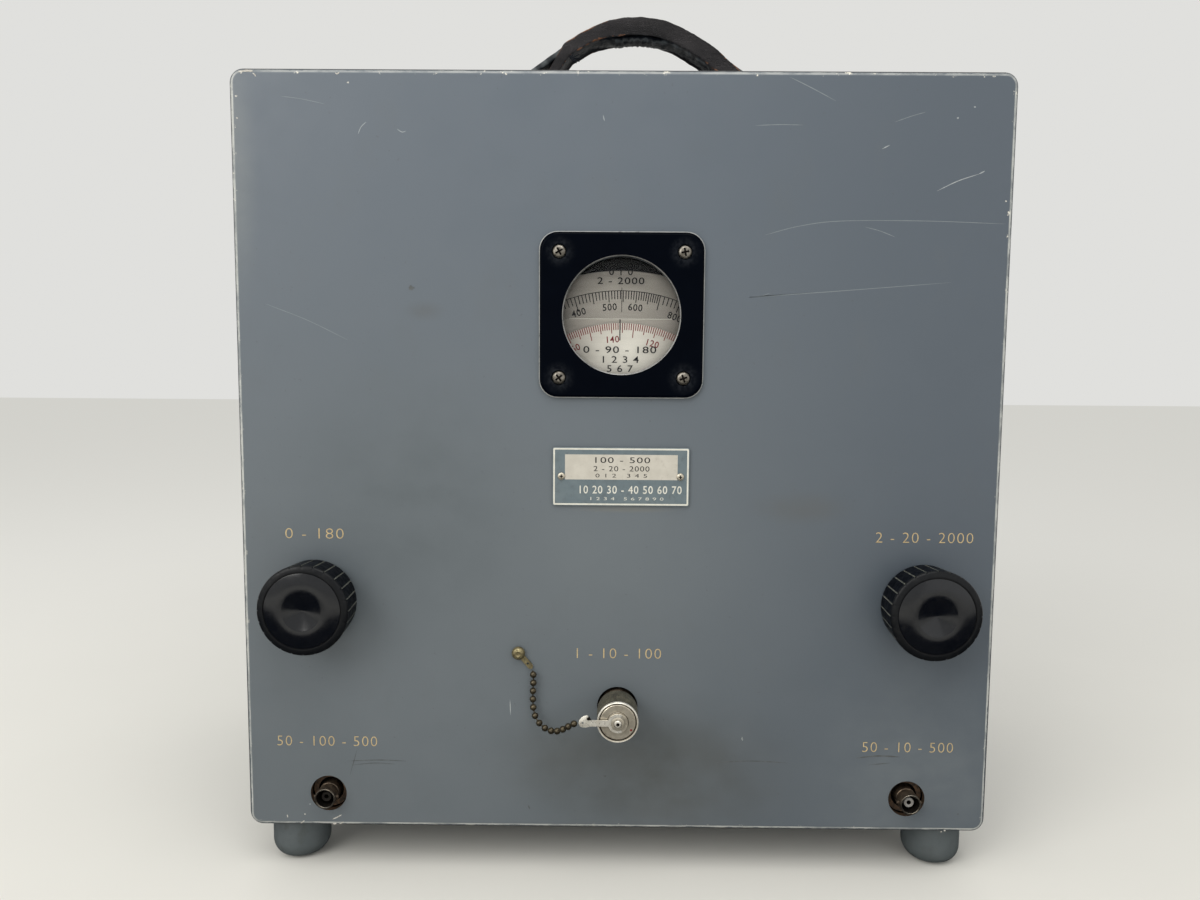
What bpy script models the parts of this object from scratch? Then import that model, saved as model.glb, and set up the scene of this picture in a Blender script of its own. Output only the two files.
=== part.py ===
"""A portable VHF impedance bridge: a square sheet-metal case with a leather carrying handle,
two fluted control knobs, a round dial window, two small coaxial jacks and one capped coaxial port.

Metres, +Z up, +X right, the front panel faces -Y. The origin is at the middle of the footprint,
on the surface that the feet stand on. Pieces on the panel are modelled in the panel's own frame:
X right, Y up from the case's lower edge, Z out towards the user, so a negative Z is inside.
"""

import bpy
import bmesh
from math import acos, cos, hypot, pi, radians, sin, sqrt
from mathutils import Matrix, Vector

MM = 0.001

# Gaps that every fit uses
SEAT = 0.3 * MM
RUNNING = 0.3 * MM
CUT_OVERRUN = 2.0 * MM

# Case
CASE_WIDTH = 355.6 * MM
CASE_HEIGHT = 355.6 * MM
CASE_DEPTH = 215.9 * MM
CASE_CORNER = 4.0 * MM
CASE_EDGE = 2.8 * MM
CASE_WALL = 3.2 * MM
CASE_LIP = 13.0 * MM
LEAST_CORNER = 1.0 * MM

# Rear cover and its screws
COVER_THICKNESS = 2.0 * MM
COVER_EDGE = 0.8 * MM
COVER_SCREW_INSET = 7.5 * MM
COVER_SCREW_RADIUS = 1.9 * MM
COVER_HEAD_RADIUS = 4.0 * MM
COVER_HEAD_HEIGHT = 2.4 * MM
COVER_SCREW_LENGTH = 9.0 * MM

# Feet
FOOT_RADIUS = 13.9 * MM
FOOT_HEIGHT = 22.0 * MM
FOOT_ROUNDING = 8.3 * MM
FOOT_INSET_X = 19.05 * MM
FOOT_INSET_Y = 20.0 * MM
FOOT_STUD_RADIUS = 3.0 * MM
FOOT_STUD_LENGTH = 7.0 * MM

# Handle
HANDLE_SPAN = 184.0 * MM
HANDLE_CREST = 59.6 * MM
HANDLE_FULLNESS = 1.15
HANDLE_DEPTH = 19.0 * MM
HANDLE_PAD = 9.6 * MM
HANDLE_STRAP = 4.0 * MM
HANDLE_PAD_HALF = 60.0 * MM
HANDLE_TAPER = 14.0 * MM
HANDLE_TAB = 14.0 * MM
HANDLE_TAB_GAP = 0.9 * MM
RING_WIRE = 1.6 * MM
RING_LENGTH = 14.0 * MM
RING_HALF_WIDTH = 12.6 * MM
RING_CORNER = 3.0 * MM
RING_PIVOT_HEIGHT = 3.2 * MM
RING_SWAY = radians(40)
CLIP_SHEET = 1.2 * MM
CLIP_HALF_LENGTH = 12.0 * MM
CLIP_WIDTH = 14.0 * MM
CLIP_PLAY = 0.4 * MM

# Dial window
WINDOW_X = 0.3 * MM
WINDOW_UP = 246.0 * MM
WINDOW_RADIUS = 26.65 * MM
WINDOW_CHAMFER = 1.0 * MM
BEZEL_HALF = 37.8 * MM
BEZEL_CORNER = 8.5 * MM
BEZEL_THICKNESS = 2.6 * MM
BEZEL_BEVEL = 1.4 * MM
BEZEL_SCREW_SPACING = 57.15 * MM
BEZEL_SCREW_RADIUS = 1.6 * MM
BEZEL_HEAD_RADIUS = 3.0 * MM
BEZEL_HEAD_HEIGHT = 1.7 * MM
BEZEL_SINK_RADIUS = 3.5 * MM
BEZEL_SINK_DEPTH = 1.1 * MM
GLASS_RADIUS = 28.7 * MM
GLASS_THICKNESS = 2.0 * MM
GLASS_LEDGE = 1.8 * MM

# Plate under the window
NAMEPLATE_X = 0.95 * MM
NAMEPLATE_UP = 171.4 * MM
NAMEPLATE_WIDTH = 63.1 * MM
NAMEPLATE_HEIGHT = 26.8 * MM
NAMEPLATE_THICKNESS = 1.0 * MM
NAMEPLATE_CORNER = 1.6 * MM
NAMEPLATE_SCREW_SPACING = 53.7 * MM
NAMEPLATE_SCREW_RADIUS = 0.9 * MM
NAMEPLATE_HEAD_RADIUS = 1.7 * MM
NAMEPLATE_HEAD_HEIGHT = 0.9 * MM

# Control knobs, their shafts and bushings
KNOB_INSET = 35.1 * MM
KNOB_UP = 112.0 * MM
KNOB_RADIUS = 20.8 * MM
KNOB_BACK_RADIUS = 19.6 * MM
KNOB_FRONT = 22.5 * MM
KNOB_BACK = 1.2 * MM
KNOB_FLUTES = 24
KNOB_FLUTE_DEPTH = 1.5 * MM
KNOB_BACK_EDGE = 1.2 * MM
KNOB_CROWN = 0.5 * MM
KNOB_SHOULDER = 0.8 * MM
KNOB_RIM_RADIUS = 18.1 * MM
KNOB_RIM_WIDTH = 2.4 * MM
KNOB_GROOVE_WIDTH = 0.5 * MM
KNOB_GROOVE_DEPTH = 0.8 * MM
KNOB_RECESS_RADIUS = 8.9 * MM
KNOB_RECESS_DEPTH = 2.8 * MM
KNOB_BORE_DEPTH = 11.0 * MM
SHAFT_RADIUS = 3.2 * MM
BUSHING_RADIUS = 4.9 * MM
BUSHING_FLANGE = 8.0 * MM
BUSHING_FLANGE_THICKNESS = 2.0 * MM

# Dials, their concentric shafts and the cord drive
DIAL_X = 0.3 * MM
DIAL_UP = 180.0 * MM
ANGLE_DIAL_RADIUS = 63.0 * MM
IMPEDANCE_DIAL_RADIUS = 87.4 * MM
DIAL_THICKNESS = 1.2 * MM
ANGLE_DIAL_DEPTH = 6.0 * MM
IMPEDANCE_DIAL_DEPTH = 9.5 * MM
DIAL_STEPS = 48
SPINDLE_RADIUS = 3.0 * MM
SPINDLE_CLAMP_RADIUS = 6.0 * MM
SPINDLE_COLLAR_RADIUS = 9.0 * MM
COLLAR_THICKNESS = 1.2 * MM
SLEEVE_RADIUS = 5.0 * MM
SLEEVE_COLLAR_RADIUS = 12.0 * MM
DRUM_RADIUS = 29.2 * MM
PULLEY_RADIUS = 9.4 * MM
GROOVE_DEPTH = 1.8 * MM
DRUM_WIDTH = 6.0 * MM
MAGNITUDE_CORD_DEPTH = 29.0 * MM
PHASE_CORD_DEPTH = 85.0 * MM
CORD_RADIUS = 0.6 * MM
SHAFT_TAIL = 4.0 * MM

# Cursor plate behind the window
CURSOR_HALF_WIDTH = 41.0 * MM
CURSOR_BOTTOM_UP = 244.7 * MM
CURSOR_TOP_UP = 272.0 * MM
CURSOR_DEPTH = 7.0 * MM
CURSOR_THICKNESS = 1.2 * MM
CURSOR_FOOT_WIDTH = 3.0 * MM

# Chassis plate and its posts
CHASSIS_GAP = 10.6 * MM
CHASSIS_BOTTOM_UP = 8.0 * MM
CHASSIS_TOP_UP = 340.0 * MM
CHASSIS_DEPTH = 20.0 * MM
CHASSIS_THICKNESS = 2.4 * MM
POST_INSET = 7.0 * MM
POST_LOW_UP = 60.0 * MM
POST_HIGH_UP = 325.0 * MM
POST_RADIUS = 4.5 * MM

# Bridge block, attenuator tubes and their carriage
BLOCK_HALF_WIDTH = 30.0 * MM
BLOCK_BOTTOM_UP = 36.0 * MM
BLOCK_TOP_UP = 92.0 * MM
BLOCK_DEPTH = 63.0 * MM
TUBE_DEPTH = 70.0 * MM
TUBE_RADIUS = 14.0 * MM
TUBE_BORE = 11.6 * MM
TUBE_END_GAP = 27.7 * MM
PISTON_RADIUS = 11.2 * MM
PISTON_HEAD = 12.0 * MM
PISTON_ROD = 4.0 * MM
PISTON_GAP = 34.9 * MM
CARRIAGE_OFFSET = 15.0 * MM
CARRIAGE_THICKNESS = 12.0 * MM
CARRIAGE_GAP = 26.6 * MM
CARRIAGE_LEG_WIDTH = 8.0 * MM
CARRIAGE_LEG_DROP = 11.0 * MM
CARRIAGE_BAR_HEIGHT = 10.0 * MM
CARRIAGE_BAR_CLEARANCE = 4.0 * MM
CARRIAGE_WEB_HALF = 8.0 * MM
GUIDE_RADIUS = 3.0 * MM
GUIDE_DROP = 10.0 * MM
GUIDE_GAP = 3.6 * MM

# Rack and pinion
PINION_TEETH = 20
PINION_PITCH_RADIUS = 8.0 * MM
TOOTH_ADDENDUM = 0.65 * MM
TOOTH_DEDENDUM = 0.95 * MM
TOOTH_PLAY = 0.16 * MM
PINION_WIDTH = 8.0 * MM
RACK_TEETH = 23
RACK_BACKING = 6.0 * MM
PRESSURE_ANGLE = radians(20)

# Circular phase line and its probe
LINE_RADIUS = 60.0 * MM
LINE_HALF_WIDTH = 6.0 * MM
LINE_SLOT_HALF = 1.5 * MM
LINE_SLOT_DEPTH = 8.0 * MM
LINE_FRONT_DEPTH = 100.0 * MM
LINE_BACK_DEPTH = 118.0 * MM
LINE_GAP = radians(24)
LINE_BASE_RADIUS = 76.0 * MM
LINE_BASE_THICKNESS = 2.4 * MM
LINE_POST_RADIUS = 3.5 * MM
LINE_POST_CIRCLE = 71.0 * MM
LINE_POST_ANGLES = (radians(45), radians(135), radians(232), radians(308))
PROBE_DEPTH = 92.0 * MM
PROBE_THICKNESS = 5.0 * MM
PROBE_HUB_RADIUS = 8.0 * MM
PROBE_TIP_RADIUS = 5.0 * MM
PROBE_PIN_RADIUS = 0.9 * MM
PROBE_PIN_REACH = 5.0 * MM
PROBE_ANGLE = radians(-35.2)
SPINDLE_TAIL = 1.0 * MM

# Capped port, threaded 5/8-24, and its cap
PORT_UP = 61.1 * MM
PORT_HOLE_RADIUS = 9.65 * MM
PORT_THREAD_RADIUS = 7.9 * MM
PORT_BORE_RADIUS = 5.4 * MM
PORT_BORE_DEPTH = 9.0 * MM
PORT_CONTACT_RADIUS = 1.6 * MM
PORT_FRONT = 13.5 * MM
PORT_FLANGE_RADIUS = 12.5 * MM
PORT_FLANGE_THICKNESS = 2.6 * MM
CAP_RADIUS = 9.52 * MM
CAP_BACK = 3.6 * MM
CAP_FRONT = 20.0 * MM
CAP_KNURL_FRONT = 16.2 * MM
CAP_GROOVE = 0.5 * MM
CAP_FACE_DROP = 0.5 * MM
CAP_RIM = 1.0 * MM
CAP_FACE_THICKNESS = 2.0 * MM
RIVET_RADIUS = 2.0 * MM
RIVET_HEAD_RADIUS = 3.3 * MM
RIVET_HEAD_HEIGHT = 0.8 * MM
RIVET_DIMPLE_RADIUS = 1.3 * MM
RIVET_DIMPLE_DEPTH = 0.5 * MM
LUG_RADIUS = 4.6 * MM
LUG_THICKNESS = 0.8 * MM
LUG_ARM_HALF = 1.5 * MM
LUG_REACH = 15.6 * MM
LUG_EYE_RADIUS = 2.1 * MM
LUG_EYE_REACH = 1.3 * MM

# Bead chain and the screw that holds it
CHAIN_SCREW_X = -47.1 * MM
CHAIN_SCREW_UP = 87.2 * MM
CHAIN_SCREW_HEAD = 3.1 * MM
CHAIN_SCREW_HEIGHT = 2.2 * MM
CHAIN_SCREW_RADIUS = 1.5 * MM
CHAIN_LUG_RADIUS = 2.9 * MM
CHAIN_LUG_THICKNESS = 0.7 * MM
CHAIN_LUG_HALF = 1.3 * MM
CHAIN_LUG_REACH = 8.6 * MM
CHAIN_LUG_TURN = radians(-49)
BEAD_RADIUS = 1.6 * MM
BEAD_PITCH = 4.25 * MM
BEAD_STEPS = 5
LINK_SHARE = 0.42

# The chain's route as shares of the way from the screw's lug to the cap's lug: across, up, out
CHAIN_SHARES = (
    (0.0, 0.0, 0.0),
    (0.018, 0.205, 0.006),
    (0.009, 0.46, 0.006),
    (0.004, 0.72, 0.006),
    (0.013, 0.974, 0.018),
    (0.062, 1.2, 0.074),
    (0.164, 1.354, 0.172),
    (0.305, 1.436, 0.313),
    (0.46, 1.44, 0.472),
    (0.602, 1.374, 0.613),
    (0.735, 1.256, 0.748),
    (0.863, 1.123, 0.877),
    (1.0, 1.0, 1.0),
)

# Small coaxial jacks
GENERATOR_INSET = 38.9 * MM
DETECTOR_INSET = 38.4 * MM
JACK_UP = 16.7 * MM
JACK_HOLE_RADIUS = 8.7 * MM
JACK_RADIUS = 4.85 * MM
JACK_BORE = 4.1 * MM
JACK_FRONT = 6.5 * MM
JACK_BORE_DEPTH = 8.5 * MM
JACK_BODY_RADIUS = 6.2 * MM
JACK_BODY_FRONT = 5.0 * MM
JACK_FLANGE_RADIUS = 8.0 * MM
JACK_FLANGE_THICKNESS = 2.6 * MM
JACK_THREAD_RADIUS = 4.2 * MM
JACK_TAIL = 36.0 * MM
INSULATOR_RADIUS = 2.4 * MM
INSULATOR_HEIGHT = 5.6 * MM
INSULATOR_BORE = 0.8 * MM
INSULATOR_BORE_DEPTH = 3.5 * MM

# Inner leads, as shares of the way from each jack's tail to what it feeds: across, up, out
LEAD_RADIUS = 2.4 * MM
LEAD_END_RISE = 6.0 * MM
LEAD_END_DEPTH = 24.0 * MM
LEAD_STEPS = 3
GENERATOR_SHARES = (
    (0.0, 0.0, 0.0),
    (0.0, 0.0, 0.75),
    (0.064, 0.03, 1.74),
    (0.248, 0.21, 2.13),
    (0.496, 0.565, 1.74),
    (0.727, 0.88, 1.25),
    (0.911, 1.0, 1.0),
    (1.0, 1.0, 1.0),
)
DETECTOR_SHARES = (
    (0.0, 0.0, 0.0),
    (0.0, 0.0, 0.137),
    (0.01, 0.008, 0.395),
    (0.046, 0.045, 0.746),
    (0.175, 0.173, 1.074),
    (0.427, 0.418, 1.273),
    (0.729, 0.724, 1.366),
    (0.93, 0.926, 1.331),
    (1.0, 1.0, 1.19),
    (1.0, 1.0, 1.0),
)

ROUND_STEPS = 24
SMALL_STEPS = 16
TINY_STEPS = 10

# Places that follow from the sizes above
REAR_REACH = CASE_DEPTH + SEAT + COVER_THICKNESS + SEAT + COVER_HEAD_HEIGHT
FACE_Y = (KNOB_FRONT - REAR_REACH) / 2
CASE_TOP = FOOT_HEIGHT + SEAT + CASE_HEIGHT
HANDLE_Y = FACE_Y + CASE_DEPTH / 2
KNOB_X = CASE_WIDTH / 2 - KNOB_INSET
GENERATOR_X = GENERATOR_INSET - CASE_WIDTH / 2
DETECTOR_X = CASE_WIDTH / 2 - DETECTOR_INSET
INNER_HALF = CASE_WIDTH / 2 - CASE_WALL
CHASSIS_HALF_WIDTH = INNER_HALF - CHASSIS_GAP
POST_X = CHASSIS_HALF_WIDTH - POST_INSET
GUIDE_HALF_LENGTH = INNER_HALF - GUIDE_GAP
CARRIAGE_LEG_X = INNER_HALF - CARRIAGE_GAP - CARRIAGE_LEG_WIDTH
TUBE_LENGTH = CARRIAGE_LEG_X - TUBE_END_GAP - BLOCK_HALF_WIDTH - SEAT
PISTON_ROD_LENGTH = CARRIAGE_LEG_X - PISTON_HEAD - PISTON_GAP - BLOCK_HALF_WIDTH - SEAT

for old in list(bpy.data.objects):
    bpy.data.objects.remove(old, do_unlink=True)


def make_material(name, colour, roughness, metallic=0.0, alpha=1.0):
    material = bpy.data.materials.new(name)
    material.use_nodes = True
    shader = material.node_tree.nodes["Principled BSDF"]
    shader.inputs["Base Color"].default_value = (*colour, 1.0)
    shader.inputs["Roughness"].default_value = roughness
    shader.inputs["Metallic"].default_value = metallic
    shader.inputs["Alpha"].default_value = alpha
    return material


MATERIALS = {
    "case_paint": make_material("case_paint", (0.16, 0.19, 0.21), 0.42),
    "foot_paint": make_material("foot_paint", (0.13, 0.15, 0.16), 0.45),
    "black_enamel": make_material("black_enamel", (0.01, 0.012, 0.018), 0.3),
    "plate_enamel": make_material("plate_enamel", (0.30, 0.32, 0.33), 0.4),
    "leather": make_material("leather", (0.02, 0.018, 0.018), 0.6),
    "plated_steel": make_material("plated_steel", (0.55, 0.53, 0.50), 0.35, 1.0),
    "dark_steel": make_material("dark_steel", (0.12, 0.10, 0.09), 0.5, 1.0),
    "knob_plastic": make_material("knob_plastic", (0.012, 0.012, 0.013), 0.35),
    "glass": make_material("glass", (0.9, 0.92, 0.93), 0.05, 0.0, 0.25),
    "dial_metal": make_material("dial_metal", (0.55, 0.53, 0.48), 0.4, 0.6),
    "brass": make_material("brass", (0.35, 0.27, 0.13), 0.4, 1.0),
    "tarnished_brass": make_material("tarnished_brass", (0.16, 0.13, 0.08), 0.5, 1.0),
    "nickel": make_material("nickel", (0.62, 0.58, 0.50), 0.3, 1.0),
    "aluminium": make_material("aluminium", (0.6, 0.6, 0.6), 0.4, 1.0),
    "insulator": make_material("insulator", (0.7, 0.7, 0.68), 0.5),
    "dark_insulator": make_material("dark_insulator", (0.05, 0.045, 0.04), 0.5),
    "cable": make_material("cable", (0.02, 0.02, 0.02), 0.6),
}


def make_frame(name, location, rotation=(0.0, 0.0, 0.0)):
    empty = bpy.data.objects.new(name, None)
    bpy.context.scene.collection.objects.link(empty)
    empty.location = location
    empty.rotation_euler = rotation
    return empty


def add_object(name, data, material, parent, location=(0.0, 0.0, 0.0), rotation=(0.0, 0.0, 0.0)):
    obj = bpy.data.objects.new(name, data)
    bpy.context.scene.collection.objects.link(obj)
    obj.parent = parent
    obj.location = location
    obj.rotation_euler = rotation
    if material:
        data.materials.append(MATERIALS[material])
    return obj


def finished_mesh(name, bm, smooth=False):
    bmesh.ops.recalc_face_normals(bm, faces=bm.faces)
    mesh = bpy.data.meshes.new(name)
    bm.to_mesh(mesh)
    bm.free()
    if smooth:
        mesh.shade_smooth()
        mesh.set_sharp_from_angle(angle=radians(35))
    return mesh


def add_loops(bm, loops, ring=False):
    """Skin a list of point loops; a ring joins the last loop to the first, else both ends are capped."""
    rows = [[bm.verts.new(point) for point in loop] for loop in loops]
    pairs = list(zip(rows, rows[1:]))
    if ring:
        pairs.append((rows[-1], rows[0]))
    for first, second in pairs:
        count = max(len(first), len(second))
        for step in range(count):
            after = (step + 1) % count
            corners = []
            for row, place in ((first, step), (second, step), (second, after), (first, after)):
                vertex = row[place % len(row)]
                if vertex not in corners:
                    corners.append(vertex)
            bm.faces.new(corners)
    if not ring:
        for row in (rows[0], rows[-1]):
            if len(row) > 2:
                bm.faces.new(row)


def loop_mesh(name, loops, ring=False, smooth=False):
    bm = bmesh.new()
    add_loops(bm, loops, ring)
    return finished_mesh(name, bm, smooth)


def circle_loop(radius, height, steps):
    if radius == 0:
        return [Vector((0, 0, height))]
    turns = [2 * pi * step / steps for step in range(steps)]
    return [Vector((radius * cos(turn), radius * sin(turn), height)) for turn in turns]


def turned_mesh(name, profile, steps=ROUND_STEPS, ring=False):
    """Turn (radius, height) points about Z."""
    loops = [circle_loop(radius, height, steps) for radius, height in profile]
    return loop_mesh(name, loops, ring, smooth=True)


def rounded_loop(width, height, corner, level, steps=2):
    """A rounded rectangle about the origin, at one Z."""
    points = []
    for quarter in range(4):
        side_x = 1 if quarter in (0, 3) else -1
        side_y = 1 if quarter in (0, 1) else -1
        centre = Vector((side_x * (width / 2 - corner), side_y * (height / 2 - corner), level))
        for step in range(steps + 1):
            turn = (quarter + step / steps) * pi / 2
            points.append(centre + Vector((corner * cos(turn), corner * sin(turn), 0)))
    return points


def moved(points, offset):
    return [point + Vector(offset) for point in points]


def extruded_mesh(name, outline, low, high):
    """Extrude a closed outline of (x, y) points from Z low to Z high."""
    return loop_mesh(name, [[Vector((x, y, level)) for x, y in outline] for level in (low, high)])


def arc_points(centre, radius, start, end, steps):
    turns = [start + (end - start) * step / steps for step in range(steps + 1)]
    return [(centre[0] + radius * cos(turn), centre[1] + radius * sin(turn)) for turn in turns]


def smooth_route(points, steps):
    """Points on a smooth curve through the given route."""
    route = [Vector(point) for point in points]
    route = [2 * route[0] - route[1], *route, 2 * route[-1] - route[-2]]
    result = [route[1]]
    for before, start, end, after in zip(route, route[1:], route[2:], route[3:]):
        for step in range(1, steps + 1):
            t = step / steps
            drift = (end - before) * t
            bend = (2 * before - 5 * start + 4 * end - after) * t * t
            twist = (3 * start - before - 3 * end + after) * t * t * t
            result.append((2 * start + drift + bend + twist) / 2)
    return result


def route_between(start, end, shares):
    """The points at the given shares of the way, across, up and out, from one end to the other."""
    way = Vector(end) - Vector(start)
    return [Vector(start) + Vector(share * size for share, size in zip(row, way)) for row in shares]


def tube_curve(name, points, radius, resolution, cyclic=False, shares=None):
    """A round tube along the points; the shares thin it at each point."""
    curve = bpy.data.curves.new(name, "CURVE")
    curve.dimensions = "3D"
    curve.bevel_depth = radius
    curve.bevel_resolution = resolution
    curve.render_resolution_u = 0
    curve.use_fill_caps = not cyclic
    spline = curve.splines.new("POLY")
    spline.points.add(len(points) - 1)
    for index, (target, point) in enumerate(zip(spline.points, points)):
        target.co = (*point, 1.0)
        target.radius = shares[index] if shares else 1.0
    spline.use_cyclic_u = cyclic
    return curve


def add_drill(bm, radius, start, end):
    """A closed cylinder between two points, for a cut."""
    axis = Vector(end) - Vector(start)
    place = Matrix.Translation(start) @ Vector((0, 0, 1)).rotation_difference(axis).to_matrix().to_4x4()
    steps = SMALL_STEPS if radius > JACK_BODY_RADIUS else TINY_STEPS
    loops = [circle_loop(radius, level, steps) for level in (0, axis.length)]
    add_loops(bm, [[place @ point for point in loop] for loop in loops])


def apply_boolean(target, bm, operation, name):
    """Cut or join a mesh of simple bodies, given in the target's own parent frame."""
    helper = add_object(name, finished_mesh(name, bm), None, target.parent)
    helper.hide_render = True
    helper.display_type = "WIRE"
    change = target.modifiers.new(name, "BOOLEAN")
    change.operation = operation
    change.object = helper


def make_case(panel):
    """The case: front panel and sides in one shell, open at the back inside a turned-in lip."""

    def level_loop(inset, out):
        corner = max(CASE_CORNER - inset, LEAST_CORNER)
        loop = rounded_loop(CASE_WIDTH - 2 * inset, CASE_HEIGHT - 2 * inset, corner, out)
        return moved(loop, (0, CASE_HEIGHT / 2, 0))

    turns = [pi / 2 * step / 2 for step in range(3)]
    loops = [level_loop(CASE_EDGE * (1 - sin(turn)), -CASE_EDGE * (1 - cos(turn))) for turn in turns]
    loops.append(level_loop(0, -CASE_DEPTH))
    loops.append(level_loop(CASE_LIP, -CASE_DEPTH))
    loops.append(level_loop(CASE_LIP, CASE_WALL - CASE_DEPTH))
    loops.append(level_loop(CASE_WALL, CASE_WALL - CASE_DEPTH))
    loops.append(level_loop(CASE_WALL, -CASE_WALL))
    case = add_object("case", loop_mesh("case", loops), "case_paint", panel)

    holes = bmesh.new()
    front = CUT_OVERRUN
    back = -CASE_WALL - CUT_OVERRUN
    ledge = GLASS_RADIUS - GLASS_LEDGE
    window = [(0, front), (GLASS_RADIUS + SEAT, front), (GLASS_RADIUS + SEAT, -GLASS_THICKNESS - SEAT)]
    window += [(ledge, -GLASS_THICKNESS - SEAT), (ledge, back), (0, back)]
    loops = [circle_loop(radius, level, ROUND_STEPS) for radius, level in window]
    add_loops(holes, [moved(loop, (WINDOW_X, WINDOW_UP, 0)) for loop in loops])
    drills = [(PORT_HOLE_RADIUS, 0, PORT_UP)]
    drills += [(JACK_HOLE_RADIUS, x, JACK_UP) for x in (GENERATOR_X, DETECTOR_X)]
    drills += [(BUSHING_RADIUS + RUNNING, x, KNOB_UP) for x in (-KNOB_X, KNOB_X)]
    drills += [(BEZEL_SCREW_RADIUS + RUNNING, x, up) for x, up in bezel_screw_places()]
    drills += [(NAMEPLATE_SCREW_RADIUS + RUNNING, x, NAMEPLATE_UP) for x in nameplate_screw_places()]
    drills += [(CHAIN_SCREW_RADIUS + RUNNING, CHAIN_SCREW_X, CHAIN_SCREW_UP)]
    for radius, x, up in drills:
        add_drill(holes, radius, (x, up, back), (x, up, front))
    for x, up in cover_screw_places():
        lip_front = CASE_WALL - CASE_DEPTH + CUT_OVERRUN
        add_drill(holes, COVER_SCREW_RADIUS + RUNNING, (x, up, -CASE_DEPTH - CUT_OVERRUN), (x, up, lip_front))
    for x, depth in foot_places():
        top = CASE_WALL + CUT_OVERRUN
        add_drill(holes, FOOT_STUD_RADIUS + RUNNING, (x, -CUT_OVERRUN, -depth), (x, top, -depth))
    apply_boolean(case, holes, "DIFFERENCE", "case_holes")


def cover_screw_places():
    across = CASE_WIDTH / 2 - COVER_SCREW_INSET
    ups = (COVER_SCREW_INSET, CASE_HEIGHT - COVER_SCREW_INSET)
    return [(x, up) for up in ups for x in (-across, across)]


def foot_places():
    """Each foot's place across and its depth behind the panel's face."""
    across = CASE_WIDTH / 2 - FOOT_INSET_X
    return [(x, depth) for depth in (FOOT_INSET_Y, CASE_DEPTH - FOOT_INSET_Y) for x in (-across, across)]


def bezel_screw_places():
    half = BEZEL_SCREW_SPACING / 2
    return [(WINDOW_X + x, WINDOW_UP + up) for up in (half, -half) for x in (-half, half)]


def nameplate_screw_places():
    half = NAMEPLATE_SCREW_SPACING / 2
    return [NAMEPLATE_X + x for x in (-half, half)]


def screw_mesh(name, head_radius, head_height, shank_radius, length, under_head):
    """A round-head screw along Z, its head standing on Z = under_head."""
    dome = [(head_radius * sin(turn), under_head + head_height * cos(turn)) for turn in (0.6, 1.1)]
    profile = [(0, under_head + head_height), *dome, (head_radius, under_head + head_height / 4)]
    profile += [(head_radius, under_head), (shank_radius, under_head), (shank_radius, under_head - length)]
    profile += [(0, under_head - length)]
    return turned_mesh(name, profile, TINY_STEPS)


def make_rear_cover(panel):
    """The flat cover that closes the back, with a screw at each corner."""
    back = -CASE_DEPTH - SEAT - COVER_THICKNESS
    levels = ((COVER_EDGE, back), (0, back + COVER_EDGE), (0, -CASE_DEPTH - SEAT))
    loops = []
    for inset, level in levels:
        loop = rounded_loop(CASE_WIDTH - 2 * inset, CASE_HEIGHT - 2 * inset, CASE_CORNER - inset, level)
        loops.append(moved(loop, (0, CASE_HEIGHT / 2, 0)))
    cover = add_object("rear_cover", loop_mesh("rear_cover", loops), "case_paint", panel)
    holes = bmesh.new()
    for x, up in cover_screw_places():
        start = (x, up, back - CUT_OVERRUN)
        add_drill(holes, COVER_SCREW_RADIUS + RUNNING, start, (x, up, CUT_OVERRUN - CASE_DEPTH))
    apply_boolean(cover, holes, "DIFFERENCE", "cover_holes")
    sizes = (COVER_HEAD_RADIUS, COVER_HEAD_HEIGHT, COVER_SCREW_RADIUS, COVER_SCREW_LENGTH, SEAT)
    mesh = screw_mesh("cover_screw", *sizes)
    mesh.materials.append(MATERIALS["plated_steel"])
    names = ("bottom_left", "bottom_right", "top_left", "top_right")
    for name, (x, up) in zip(names, cover_screw_places()):
        add_object(f"rear_screw_{name}", mesh, None, panel, (x, up, back), (pi, 0, 0))


def make_feet(panel):
    """Four turned feet with rounded lower edges, each on a stud through the case's floor."""
    profile = [(0, FOOT_STUD_LENGTH), (FOOT_STUD_RADIUS, FOOT_STUD_LENGTH)]
    profile += [(FOOT_STUD_RADIUS, 0), (FOOT_RADIUS, 0)]
    for step in range(5):
        turn = pi / 2 * step / 4
        radius = FOOT_RADIUS - FOOT_ROUNDING * (1 - cos(turn))
        profile.append((radius, FOOT_ROUNDING * (1 - sin(turn)) - FOOT_HEIGHT))
    profile.append((0, -FOOT_HEIGHT))
    mesh = turned_mesh("foot", profile, SMALL_STEPS)
    mesh.materials.append(MATERIALS["foot_paint"])
    names = ("front_left", "front_right", "rear_left", "rear_right")
    for name, (x, depth) in zip(names, foot_places()):
        add_object(f"foot_{name}", mesh, None, panel, (x, -SEAT, -depth), (-pi / 2, 0, 0))


def ring_top():
    """How far a ring's upper bar lies beside its pivot and above the case, as the handle rests."""
    across = RING_LENGTH * sin(RING_SWAY)
    return across, RING_PIVOT_HEIGHT + RING_LENGTH * cos(RING_SWAY)


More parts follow.
